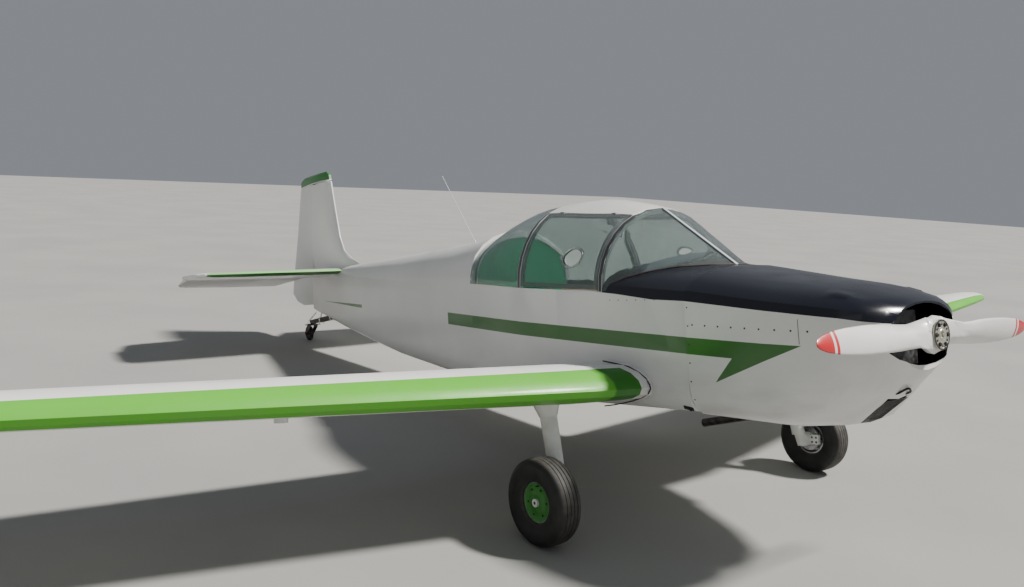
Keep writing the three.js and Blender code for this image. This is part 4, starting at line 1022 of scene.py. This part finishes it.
for hand, side in HANDS:
    for name, (s0, w0), (s1, w1), count, radius in SCREW_ROWS:
        row = [on_side(hull_surface, side, s0 + (s1 - s0) * share, w0 + (w1 - w0) * share)
               for share in shares(count)]
        fasteners(f"{name}_{hand}", row, radius)
    piece(f"cowl_latch_{hand}", cowl_latch(), steel, place=facing(*on_side(hull_surface, side, *LATCH)))
seam = [on_side(hull_surface, -1, SECOND_SEAM_S, w, 0.0004)[0] for w in (0.1, 0.07, 0.04, 0.01, -0.012)]
rubber_bead("cowl_second_seam", [p for p in seam if p is not None], 0.0012, sides=2)
print("rows of screws on each side:", len(SCREW_ROWS))

# %% [markdown]
# A black rubber bead closes the joint between each wing root and the fuselage. It is a line of points
# round the wing's nose, on the plane where the root meets the side.

# %% Wing root beads
ROOT_X = 0.5535
ROOT_BEAD = [(1.616, -0.108), (1.5, -0.122), (1.418, -0.134), (1.35, -0.16), (1.3, -0.19),
             (1.274, -0.222), (1.268, -0.245), (1.285, -0.268), (1.33, -0.292), (1.4, -0.314),
             (1.471, -0.33), (1.55, -0.345), (1.62, -0.355)]
for hand, side in HANDS:
    bead = [spot(side * ROOT_X, s, w) for s, w in ROOT_BEAD]
    rubber_bead(f"wing_root_bead_{hand}", bead, 0.0036)
print("points on each bead:", len(ROOT_BEAD))

# %% [markdown]
# The cabin's two arches are dark outside, with a bright strip along each edge, and bare metal inside.
# The strips follow s, so the paint of an arch only has to measure along the fuselage. A door's own
# frame is a band of smoked acrylic, through which some light comes.

# %% Arches and door frames
ARCH_EDGES = (1.62, 1.65, 2.355, 2.385)
STRIP = 0.0032


def edged(x, s, w, colour):
    strips = any_of(*[maths("COMPARE", s, line, STRIP) for line in ARCH_EDGES])
    return blend_colours(strips, colour, (0.62, 0.63, 0.62))


arch_paint = painted("arch_paint", edged, base=(0.03, 0.031, 0.034), roughness=0.34)
for node in ("front_arch", "rear_arch"):
    line_inside(skin(node, arch_paint), bare_metal)
for node in ("door_frame_left", "door_frame_right"):
    skin(node, smoked_edge)
print("arches and door frames:", 4)

# %% [markdown]
# The windscreen is two flat-wrapped panes that meet on the centreline. A narrow white strip covers
# the joint and grey sealant shows on both sides of it.

# %% Windscreen post
POST_HALF = 0.0055
SEALANT = (0.16, 0.2, 0.23)


def post_strip(x, s, w, colour):
    return blend_colours(below(maths("ABSOLUTE", x), POST_HALF), colour, (0.82, 0.83, 0.82))


skin("windscreen_post", painted("post_paint", post_strip, base=SEALANT, roughness=0.3))
print("white strip:", 2 * POST_HALF, "m wide")

# %% [markdown]
# Each door pane has an oval hole, which gives fresh air and room for a hand. Light shows its rim,
# because the acrylic is thickened there, so a pale bead is laid on the rim's outer edge.

# %% Rims of the oval holes
HOLE = {"s": 1.89, "w": 0.476, "along": 0.083, "up": 0.057}
for hand, side in HANDS:
    glass = surface_of(f"door_glass_{hand}")
    ring = [on_side(glass, side, HOLE["s"] + HOLE["along"] * math.cos(angle),
                    HOLE["w"] + HOLE["up"] * math.sin(angle), 0.0005)[0] for angle in angles(64)]
    ring = [point for point in ring if point is not None]
    tube(f"hole_rim_{hand}", ring, 0.003, chrome, f"door_{hand}", closed=True, sides=3)
    print("rim", hand, len(ring), "points")

# %% [markdown]
# Along the foot of the windscreen runs a rubber seal on the dark deck, with a row of small screws in
# front of it. The foot is a curve in plan: furthest forward on the centreline, sweeping back at the
# sides. The rays put both on the deck.

# %% Windscreen foot
FOOT = {"centre": 1.119, "side": 1.596, "power": 1.75, "half_width": 0.535, "reach": 0.5}
deck_surface = surface_of("front_deck")


def foot_line(ahead, count):
    """Places on the deck along the windscreen's foot, some way ahead of it."""
    places = []
    for share in shares(count):
        x = FOOT["reach"] * (2 * share - 1)
        back = (abs(x) / FOOT["half_width"]) ** FOOT["power"]
        s = FOOT["centre"] + (FOOT["side"] - FOOT["centre"]) * back
        places.append(on_top(deck_surface, x, s - ahead))
    return [place for place in places if place[0] is not None]


seal = [point + normal * 0.001 for point, normal in foot_line(0.004, 81)]
tube("windscreen_seal", seal, 0.0034, seal_brown, sides=3)
fasteners("windscreen_screws", foot_line(0.02, 39), 0.0036, height=0.0012)
print("seal points:", len(seal))

# %% [markdown]
# Behind the seats a green panel closes the cabin. Its edge is finished with pale piping, sewn along
# the front of the board, so the outline of the board itself gives the line.

# %% Piping of the rear panel
PANEL_FRONT = 2.985
PIPED_ABOVE = 0.3
PIPING = {"share": 0.985, "ahead": 0.004, "down": 0.006}


def outline_of(node, station):
    """The corner points of a flat board on the plane of a station, in order round its middle."""
    flat = {}
    for vertex in frame["nodes"][node].data.vertices:
        x, s, w = UNTILT @ vertex.co
        if abs(s - station) < 0.003:
            flat[(round(x, 3), round(w, 3))] = Vector((x, s, w))
    middle = sum(flat.values(), Vector()) / len(flat)
    return sorted(flat.values(), key=lambda p: math.atan2(p.z - middle.z, p.x - middle.x))


board = outline_of("cabin_rear_panel", PANEL_FRONT)
edge_points = [spot(p.x * PIPING["share"], PANEL_FRONT - PIPING["ahead"], p.z - PIPING["down"])
               for p in board if p.z > PIPED_ABOVE]
tube("panel_piping", through(edge_points, 4), 0.0042, piping_white, sides=3)
print("piping points:", len(edge_points))

# %% [markdown]
# The seats are plain ply boxes and boards with a foam pad on each. A pad starts as a block that is a
# little too small. It is given an even mesh and blown up like a balloon in cloth simulation, so its
# faces crown and its sides pull in at the corners. No point moves further than the cap, which keeps
# the pad in the room of its solid, and it stays flat where it lies on its board.

# %% Blowing up a pad
PAD_VOXEL = 0.0065
AIR_PRESSURE = 4
BLOW_FRAMES = 20
CHANNEL_DEPTH, CHANNEL_HALF = 0.01, 0.009
SEAM_POINTS, SEAM_REACH = 96, 0.5


def shown(thing):
    """An object as its modifiers leave it."""
    return thing.evaluated_get(bpy.context.evaluated_depsgraph_get())


def blown_up(shape, cap, channels):
    """A block made into a pad, lying on z = 0, with sewn channels across it at some values of y."""
    pad = add("pad_start", mesh_of("pad_start", shape))
    even = pad.modifiers.new("even", "REMESH")
    even.mode = "VOXEL"
    even.voxel_size = PAD_VOXEL
    mesh = bpy.data.meshes.new_from_object(shown(pad))
    pad.modifiers.clear()
    pad.data = mesh
    before = after = [vertex.co.copy() for vertex in mesh.vertices]
    air = pad.modifiers.new("air", "CLOTH")
    air.settings.use_pressure = True
    air.settings.uniform_pressure_force = AIR_PRESSURE
    air.settings.effector_weights.gravity = 0
    for count in range(1, BLOW_FRAMES + 1):
        bpy.context.scene.frame_set(count)
    after = [vertex.co.copy() for vertex in shown(pad).data.vertices]
    pad.modifiers.clear()
    bpy.context.scene.frame_set(1)
    height = max(point.z for point in before)
    for vertex, was, now in zip(mesh.vertices, before, after):
        way = now - was
        if way.length > cap:
            way *= cap / way.length
        vertex.co = was + way
        share = min(1, max(0, was.z / height))
        for line in channels:
            vertex.co.z -= CHANNEL_DEPTH * share * math.exp(-((was.y - line) / CHANNEL_HALF) ** 2)
        vertex.co.z = max(vertex.co.z, 0)
    bpy.data.objects.remove(pad)
    padded = bmesh.new()
    padded.from_mesh(mesh)
    return padded


def seam_of(shape, height):
    """Points on a pad's skin, all round it at one height."""
    tree = BVHTree.FromBMesh(shape)
    low, high = ([pick(vertex.co[axis] for vertex in shape.verts) for axis in (0, 1)] for pick in (min, max))
    middle = Vector(((low[0] + high[0]) / 2, (low[1] + high[1]) / 2, height))
    ways = [Vector((math.cos(angle), math.sin(angle), 0)) for angle in angles(SEAM_POINTS)]
    hits = [tree.ray_cast(middle + way * SEAM_REACH, -way)[0] for way in ways]
    return [hit for hit in hits if hit is not None]


# %% [markdown]
# Both seats are the same, so each pad is blown up once and set in place twice, with piping on its
# seam. The cushion lies on a ply box and the back pad on a board that leans aft.

# %% Seats
SEAT_X = 0.246
BACK_LEAN = math.radians(17.5)
SEAM_HEIGHT = 0.55
CUSHION_AT = move(0, 2.16, -0.234)
BACK_AT = move(0, 2.38, -0.16) @ rotate(QUARTER - BACK_LEAN, "X") @ move(0, 0, -0.078)
PADS = (
    ("cushion", CUSHION_AT, ((-0.198, -0.206, 0.0), (0.198, 0.206, 0.062)), 0.02, (-0.1, 0.0, 0.1),
     ((-0.216, -0.225, -0.1), (0.216, 0.225, -0.0004), 0.004)),
    ("back", BACK_AT, ((-0.198, 0.052, 0.0), (0.198, 0.488, 0.052)), 0.018, (0.16, 0.27, 0.38),
     ((-0.212, 0.036, -0.0145), (0.212, 0.522, -0.0004), 0.006, 3)),
)
for kind, rest, corners, cap, channels, board in PADS:
    pad = blown_up(block(*corners, 0.018, 3), cap, channels)
    seam = seam_of(pad, corners[1][2] * SEAM_HEIGHT)
    for hand, side in HANDS:
        at = TILT @ move(side * SEAT_X, 0, 0) @ rest
        cover = piece(f"seat_{kind}_pad_{hand}", pad.copy(), seat_cloth, place=at,
                      stands_for=(f"seat_{kind}_{hand}",), limit=80)
        smooth = cover.modifiers.new("smooth", "SUBSURF")
        smooth.levels = smooth.render_levels = 1
        tube(f"seat_{kind}_piping_{hand}", [at @ point for point in seam], 0.0034, seat_piping,
             closed=True, sides=3)
        piece(f"seat_{kind}_board_{hand}", block(*board), ply, place=at)
    print(kind, "pad:", len(pad.verts), "points,", len(seam), "on the seam")
    pad.free()

# %% [markdown]
# The instrument panel carries two rows of round instruments and a small group between them. A dial is
# a turned bezel with a sunk face, twelve marks and a needle. They have no figures on them.

# %% Dials
PANEL_FACE = 1.56
BIG, SMALL = 0.039, 0.026
BEZEL = [(0, 0.039), (0.0065, 0.039), (0.008, 0.0375), (0.0072, 0.0345), (0.0018, 0.0338), (0.0018, 0)]
MARK = ((0.0014, -0.0007, -0.0045), (0.0022, 0.0007, 0.0))
NEEDLE_FROM, NEEDLE_STEP = -2.2, 0.83
NEEDLE = ((0.0026, -0.0009, -0.007), (0.0034, 0.0009, 0.025))
DIALS = [(x, w, BIG) for w in (0.28, 0.188) for x in (-0.335, -0.24, -0.145, 0.145, 0.24, 0.335)]
DIALS += [(x, w, SMALL) for w in (0.335, 0.272, 0.209) for x in (-0.036, 0.036)]


def on_panel(x, w, angle=0.0):
    """From a part made along X to the cabin side of the panel, pointing aft."""
    return TILT @ move(x, PANEL_FACE, w) @ rotate(QUARTER, "Z") @ rotate(angle, "X")


bezels, marks, needles = [], [], []
for index, (x, w, radius) in enumerate(DIALS):
    size = Matrix.Diagonal((1, radius / BIG, radius / BIG, 1))
    needle = joined([block(*NEEDLE), rod(0.0036, 0.004, 0.0006, 16)])
    bezels.append(placed(turned(BEZEL, 40), on_panel(x, w) @ size))
    marks.append(placed(ring_of(lambda: block(*MARK), 12, 0.032), on_panel(x, w) @ size))
    needles.append(placed(needle, on_panel(x, w, NEEDLE_FROM + NEEDLE_STEP * index) @ size))
piece("dial_bezels", joined(bezels), panel_black)
piece("dial_marks", joined(marks), white_paint)
piece("dial_needles", joined(needles), white_paint)
print("dials:", len(DIALS))

# %% [markdown]
# Under the dials lie the engine's controls, round knobs on rods, with a row of toggle switches at each
# end. All knobs are one turned outline and all switches one small part, set out from left to right.

# %% Knobs and switches
CONTROLS_W = 0.118
KNOB = [(0, 0.0035), (0.03, 0.0035), (0.031, 0.01), (0.036, 0.0125), (0.042, 0.0115), (0.044, 0)]
KNOB_X = (-0.3, -0.18, -0.06, 0.0, 0.06, 0.18, 0.3)
SWITCH_ROWS, SWITCHES, SWITCH_STEP, LEVER_LEAN = (-0.42, 0.342), 4, 0.026, -0.4
knobs = [placed(turned(KNOB, 20), on_panel(x, CONTROLS_W)) for x in KNOB_X]
piece("panel_knobs", joined(knobs), grip_rubber)
switches = []
for first in SWITCH_ROWS:
    for index in range(SWITCHES):
        lever = placed(rod(0.0018, 0.016, 0.0008, 10), rotate(LEVER_LEAN, "Y"))
        switch = joined([rod(0.006, 0.003, 0.0006, 16), lever])
        switches.append(placed(switch, on_panel(first + SWITCH_STEP * index, CONTROLS_W)))
piece("panel_switches", joined(switches), chrome)
print("knobs and switches:", len(knobs), len(switches))

# %% [markdown]
# Each seat has a control stick with a ribbed rubber boot at the floor and a moulded grip on top. The
# stick is a bent tube. Boot and grip are round all the way up, so each is turned from its outline.

# %% Control sticks
STICK = [(1.8, -0.333), (1.803, -0.2), (1.805, -0.12), (1.822, -0.05)]
GRIP = [(0, 0), (0, 0.0125), (0.01, 0.015), (0.024, 0.0138), (0.04, 0.0152), (0.056, 0.0138),
        (0.072, 0.0155), (0.09, 0.016), (0.1, 0.015), (0.106, 0.011), (0.108, 0)]
BOOT = [(0, 0), (0, 0.0385), (0.008, 0.0375), (0.012, 0.029), (0.017, 0.032), (0.021, 0.0245),
        (0.026, 0.027), (0.03, 0.0195), (0.035, 0.0215), (0.04, 0.0135), (0.043, 0.0125), (0.043, 0)]
GRIP_WAY = spot(0, 1.85, 0.06) - spot(0, 1.822, -0.05)
UP = spot(0, 0, 1) - spot(0, 0, 0)
for hand, side in HANDS:
    line = [spot(side * SEAT_X, s, w) for s, w in STICK]
    tube(f"stick_{hand}", through(line), 0.0105, steel, sides=6)
    piece(f"stick_grip_{hand}", turned(GRIP, 32), grip_rubber, "airframe", facing(line[-1], GRIP_WAY),
          (f"control_stick_{hand}",))
    boot_at = facing(spot(side * SEAT_X, 1.8, -0.332), UP)
    piece(f"stick_boot_{hand}", turned(BOOT, 40), grip_rubber, "airframe", boot_at)
print("sticks:", len(HANDS))

# %% [markdown]
# The small tail wheel has a solid tyre on a brown cast hub. Each is half an outline, mirrored and spun.

# %% Tail wheel
TAIL_TYRE = [(0.0105, 0.04), (0.015, 0.044), (0.0185, 0.054), (0.018, 0.064), (0.014, 0.0715),
             (0.0075, 0.0742), (0, 0.0748)]
TAIL_HUB = [(0.0115, 0.006), (0.0115, 0.015), (0.0045, 0.0185), (0.0035, 0.033), (0.01, 0.037),
            (0.0105, 0.0412), (0.007, 0.0425), (0, 0.0425)]
for name, half, paint, node, slot in (
    ("tail_tyre", TAIL_TYRE, rubber, "tailwheel_tyre", "tyre_rubber"),
    ("tail_hub", TAIL_HUB, hub_brown, "tailwheel_hub", "bare_aluminium"),
):
    piece(name, turned(both_halves(half), 64, closed=True), paint, "tailwheel", move(*centre_of(node)),
          (node,), limit=50)
print("tail tyre:", TAIL_TYRE[-1][1] * 2, "m across")

# %% [markdown]
# The tail wheel hangs on a leaf spring. Two thin coil springs run from the ends of its horn to eyes
# under the stern, and they stretch and slacken as it turns. Here each one is a fixed coil along the
# straight line between the two.

# %% Steering springs
HORN_END = (0.076, 2.974, 0.1755)
STERN_EYE = (0.02, 6.315, 0.248)
BEND = (0.04, 0.92)
COIL = {"radius": 0.0062, "turns": 22, "per_turn": 10, "from": 0.28, "to": 0.8}


def coil(start, end):
    """The line of a coil spring with straight ends."""
    way = end - start
    side = way.cross(Vector((1, 0, 0))).normalized()
    other = way.cross(side).normalized()
    count = COIL["turns"] * COIL["per_turn"]
    points = [start]
    for index in range(count + 1):
        along = COIL["from"] + (COIL["to"] - COIL["from"]) * index / count
        angle = 2 * math.pi * index / COIL["per_turn"]
        out = side * math.cos(angle) + other * math.sin(angle)
        points.append(start + way * along + out * COIL["radius"])
    return points + [end]


for hand, side in HANDS:
    horn, eye = mirror(side) @ Vector(HORN_END), spot(side * STERN_EYE[0], *STERN_EYE[1:])
    line = tube(f"spring_line_{hand}", coil(horn, eye), 0.0011, chrome, body=None, sides=2)
    wire = bmesh.new()
    wire.from_mesh(bpy.data.meshes.new_from_object(shown(line)))
    bpy.data.objects.remove(line)
    spring = piece(f"steering_spring_{hand}", wire, chrome, None, limit=80)
    start, end = (tuple(horn.lerp(eye, share)) for share in BEND)
    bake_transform(spring)
print("turns in each spring:", COIL["turns"])

# %% [markdown]
# The leaf spring itself is a pack. A second leaf lies under it, thin dark lines mark the joints
# between its leaves, and two bolted clamps hold the pack together.

# %% Leaves and clamps
LEAF_TOP = [(5.965, 0.148), (6.043, 0.1455), (6.099, 0.1405), (6.157, 0.1355), (6.218, 0.1295),
            (6.281, 0.1235), (6.33, 0.1185)]
SPRING_TOP = [(6.104, 0.185), (6.169, 0.178), (6.237, 0.171), (6.308, 0.164), (6.382, 0.156), (6.458, 0.149),
              (6.53, 0.142)]
SPRING_FOOT = [(6.099, 0.147), (6.157, 0.142), (6.218, 0.136), (6.281, 0.13), (6.346, 0.123), (6.413, 0.115),
               (6.483, 0.107)]
LEAF_SIDE_X = 0.0221
leaves, clamps = [], []
for (s0, w0), (s1, w1) in zip(LEAF_TOP, LEAF_TOP[1:]):
    run = Vector((0, s1 - s0, w1 - w0))
    leaf = block((0, -0.02, -0.0035), (run.length + 0.001, 0.02, 0.0035), 0.0006, 1)
    leaves.append(placed(leaf, TILT @ facing(Vector((0, s0, w0)), run)))
piece("second_leaf", joined(leaves), steel)
for index, (side, share) in enumerate(((1, 0.34), (1, 0.67), (-1, 0.34), (-1, 0.67))):
    joint = [spot(side * LEAF_SIDE_X, a + (c - a) * share, b + (d - b) * share)
             for (a, b), (c, d) in zip(SPRING_TOP, SPRING_FOOT)]
    rubber_bead(f"leaf_joint_{index}", joint, 0.0009, sides=2)
for s, w in ((6.06, 0.158), (6.3, 0.138)):
    clamps.append(placed(block((-0.028, -0.01, -0.025), (0.028, 0.01, 0.03), 0.002), TILT @ move(0, s, w)))
    for x in (-0.0225, 0.0225):
        bolt = placed(hexagon(0.005, 0.005), rotate(QUARTER, "Y"))
        clamps.append(placed(bolt, TILT @ move(x, s, w - 0.0245)))
piece("spring_clamps", joined(clamps), bare_metal)
print("pieces of the second leaf:", len(leaves))

# %% [markdown]
# Each main leg has a brake pipe down its rear edge, held by clips, and the bolts of the calliper. The
# pipe is a smooth line through nine places along the leg, so it bends where the leg does.

# %% Brakes
PIPE = [(1.012, 1.628, -0.31), (1.012, 1.607, -0.35), (1.012, 1.5925, -0.4), (1.012, 1.5755, -0.5),
        (1.012, 1.559, -0.6), (1.018, 1.549, -0.66), (1.046, 1.528, -0.694), (1.0555, 1.49, -0.708),
        (1.06, 1.436, -0.716)]
BOLT_SPOTS = [(s, w) for s in (1.395, 1.425) for w in (-0.733, -0.762)]
CLIPS = ((1.588, -0.425), (1.5675, -0.545), (1.5525, -0.64))
CALLIPER_X = 1.0525
for hand, side in HANDS:
    pipe = through([spot(side * x, s, w) for x, s, w in PIPE])
    rubber_bead(f"brake_pipe_{hand}", pipe, 0.0028)
    clips = [placed(block((-0.01, -0.008, -0.005), (0.01, 0.0045, 0.005), 0.0015),
                    TILT @ move(side * PIPE[0][0], s, w)) for s, w in CLIPS]
    piece(f"pipe_clips_{hand}", joined(clips), bare_metal)
    leg = TILT @ mirror(side)
    heads = [placed(hexagon(0.0055, 0.0055), leg @ move(CALLIPER_X, s, w) @ rotate(2 * QUARTER, "Z"))
             for s, w in BOLT_SPOTS]
    piece(f"calliper_bolts_{hand}", joined(heads), steel)
print("clips on each pipe:", len(CLIPS))

# %% [markdown]
# The picture was taken from the near wing tip's side, a little above eye height. The camera's place,
# its turn and its lens come from the photograph's own perspective.

# %% Camera
CAMERA_AT = (-3.880242, -5.331372, 1.813490)
HEADING, PITCH, ROLL = 0.6597245, 0.1345643, 0.0526227
forward = Vector((math.sin(HEADING) * math.cos(PITCH), math.cos(HEADING) * math.cos(PITCH), -math.sin(PITCH)))
level = Vector((math.cos(HEADING), -math.sin(HEADING), 0))
upright = level.cross(forward)
right = math.cos(ROLL) * level + math.sin(ROLL) * upright
top = -math.sin(ROLL) * level + math.cos(ROLL) * upright
lens = bpy.data.cameras.new("camera")
lens.sensor_width = 36
lens.lens = 31.11
lens.clip_end = 200
camera = add("camera", lens)
camera.matrix_world = move(*CAMERA_AT) @ Matrix((right, top, -forward)).transposed().to_4x4()
bpy.context.scene.camera = camera
print("camera lens:", lens.lens)

# %% [markdown]
# The floor is plain and pale. The light is a large soft sun and a weak wide lamp on the near side, in
# a bright room.

# %% Floor and light
FLOOR_REACH = 60
ROOM_LIGHT, ROOM_STRENGTH = (0.8, 0.85, 0.92, 1), 0.3
floor_paint = finish("studio_floor", (0.32, 0.32, 0.31), 0.8)
floor_place, *_ = coordinates(floor_paint, airframe=False)
floor_tone = blend_colours(clouds(floor_place, 0.6), (0.3, 0.3, 0.29), (0.34, 0.335, 0.32))
feed(floor_paint, "Base Color", floor_tone)
floor_shape = bmesh.new()
bmesh.ops.create_grid(floor_shape, x_segments=2, y_segments=2, size=FLOOR_REACH)
floor = add("studio_floor", mesh_of("studio_floor", floor_shape))
floor.data.materials.append(floor_paint)


def lamp(name, kind, at, towards, energy, **settings):
    data = bpy.data.lights.new(name, kind)
    data.energy = energy
    for key, value in settings.items():
        setattr(data, key, value)
    light = add(name, data)
    light.location = at
    light.rotation_mode = "QUATERNION"
    light.rotation_quaternion = (Vector(towards) - Vector(at)).to_track_quat("-Z", "Y")


lamp("key", "SUN", (6, -4, 9), (0, 0, 0.5), 7.0, angle=math.radians(6), color=(1.0, 0.97, 0.92))
lamp("side", "AREA", (-7, -7, 5), (0, 0, 0.8), 20, size=5)
room = bpy.data.worlds.new("room")
room.use_nodes = True
backdrop = room.node_tree.nodes["Background"]
backdrop.inputs["Color"].default_value = ROOM_LIGHT
backdrop.inputs["Strength"].default_value = ROOM_STRENGTH
bpy.context.scene.world = room
print("lamps:", len(bpy.data.lights))
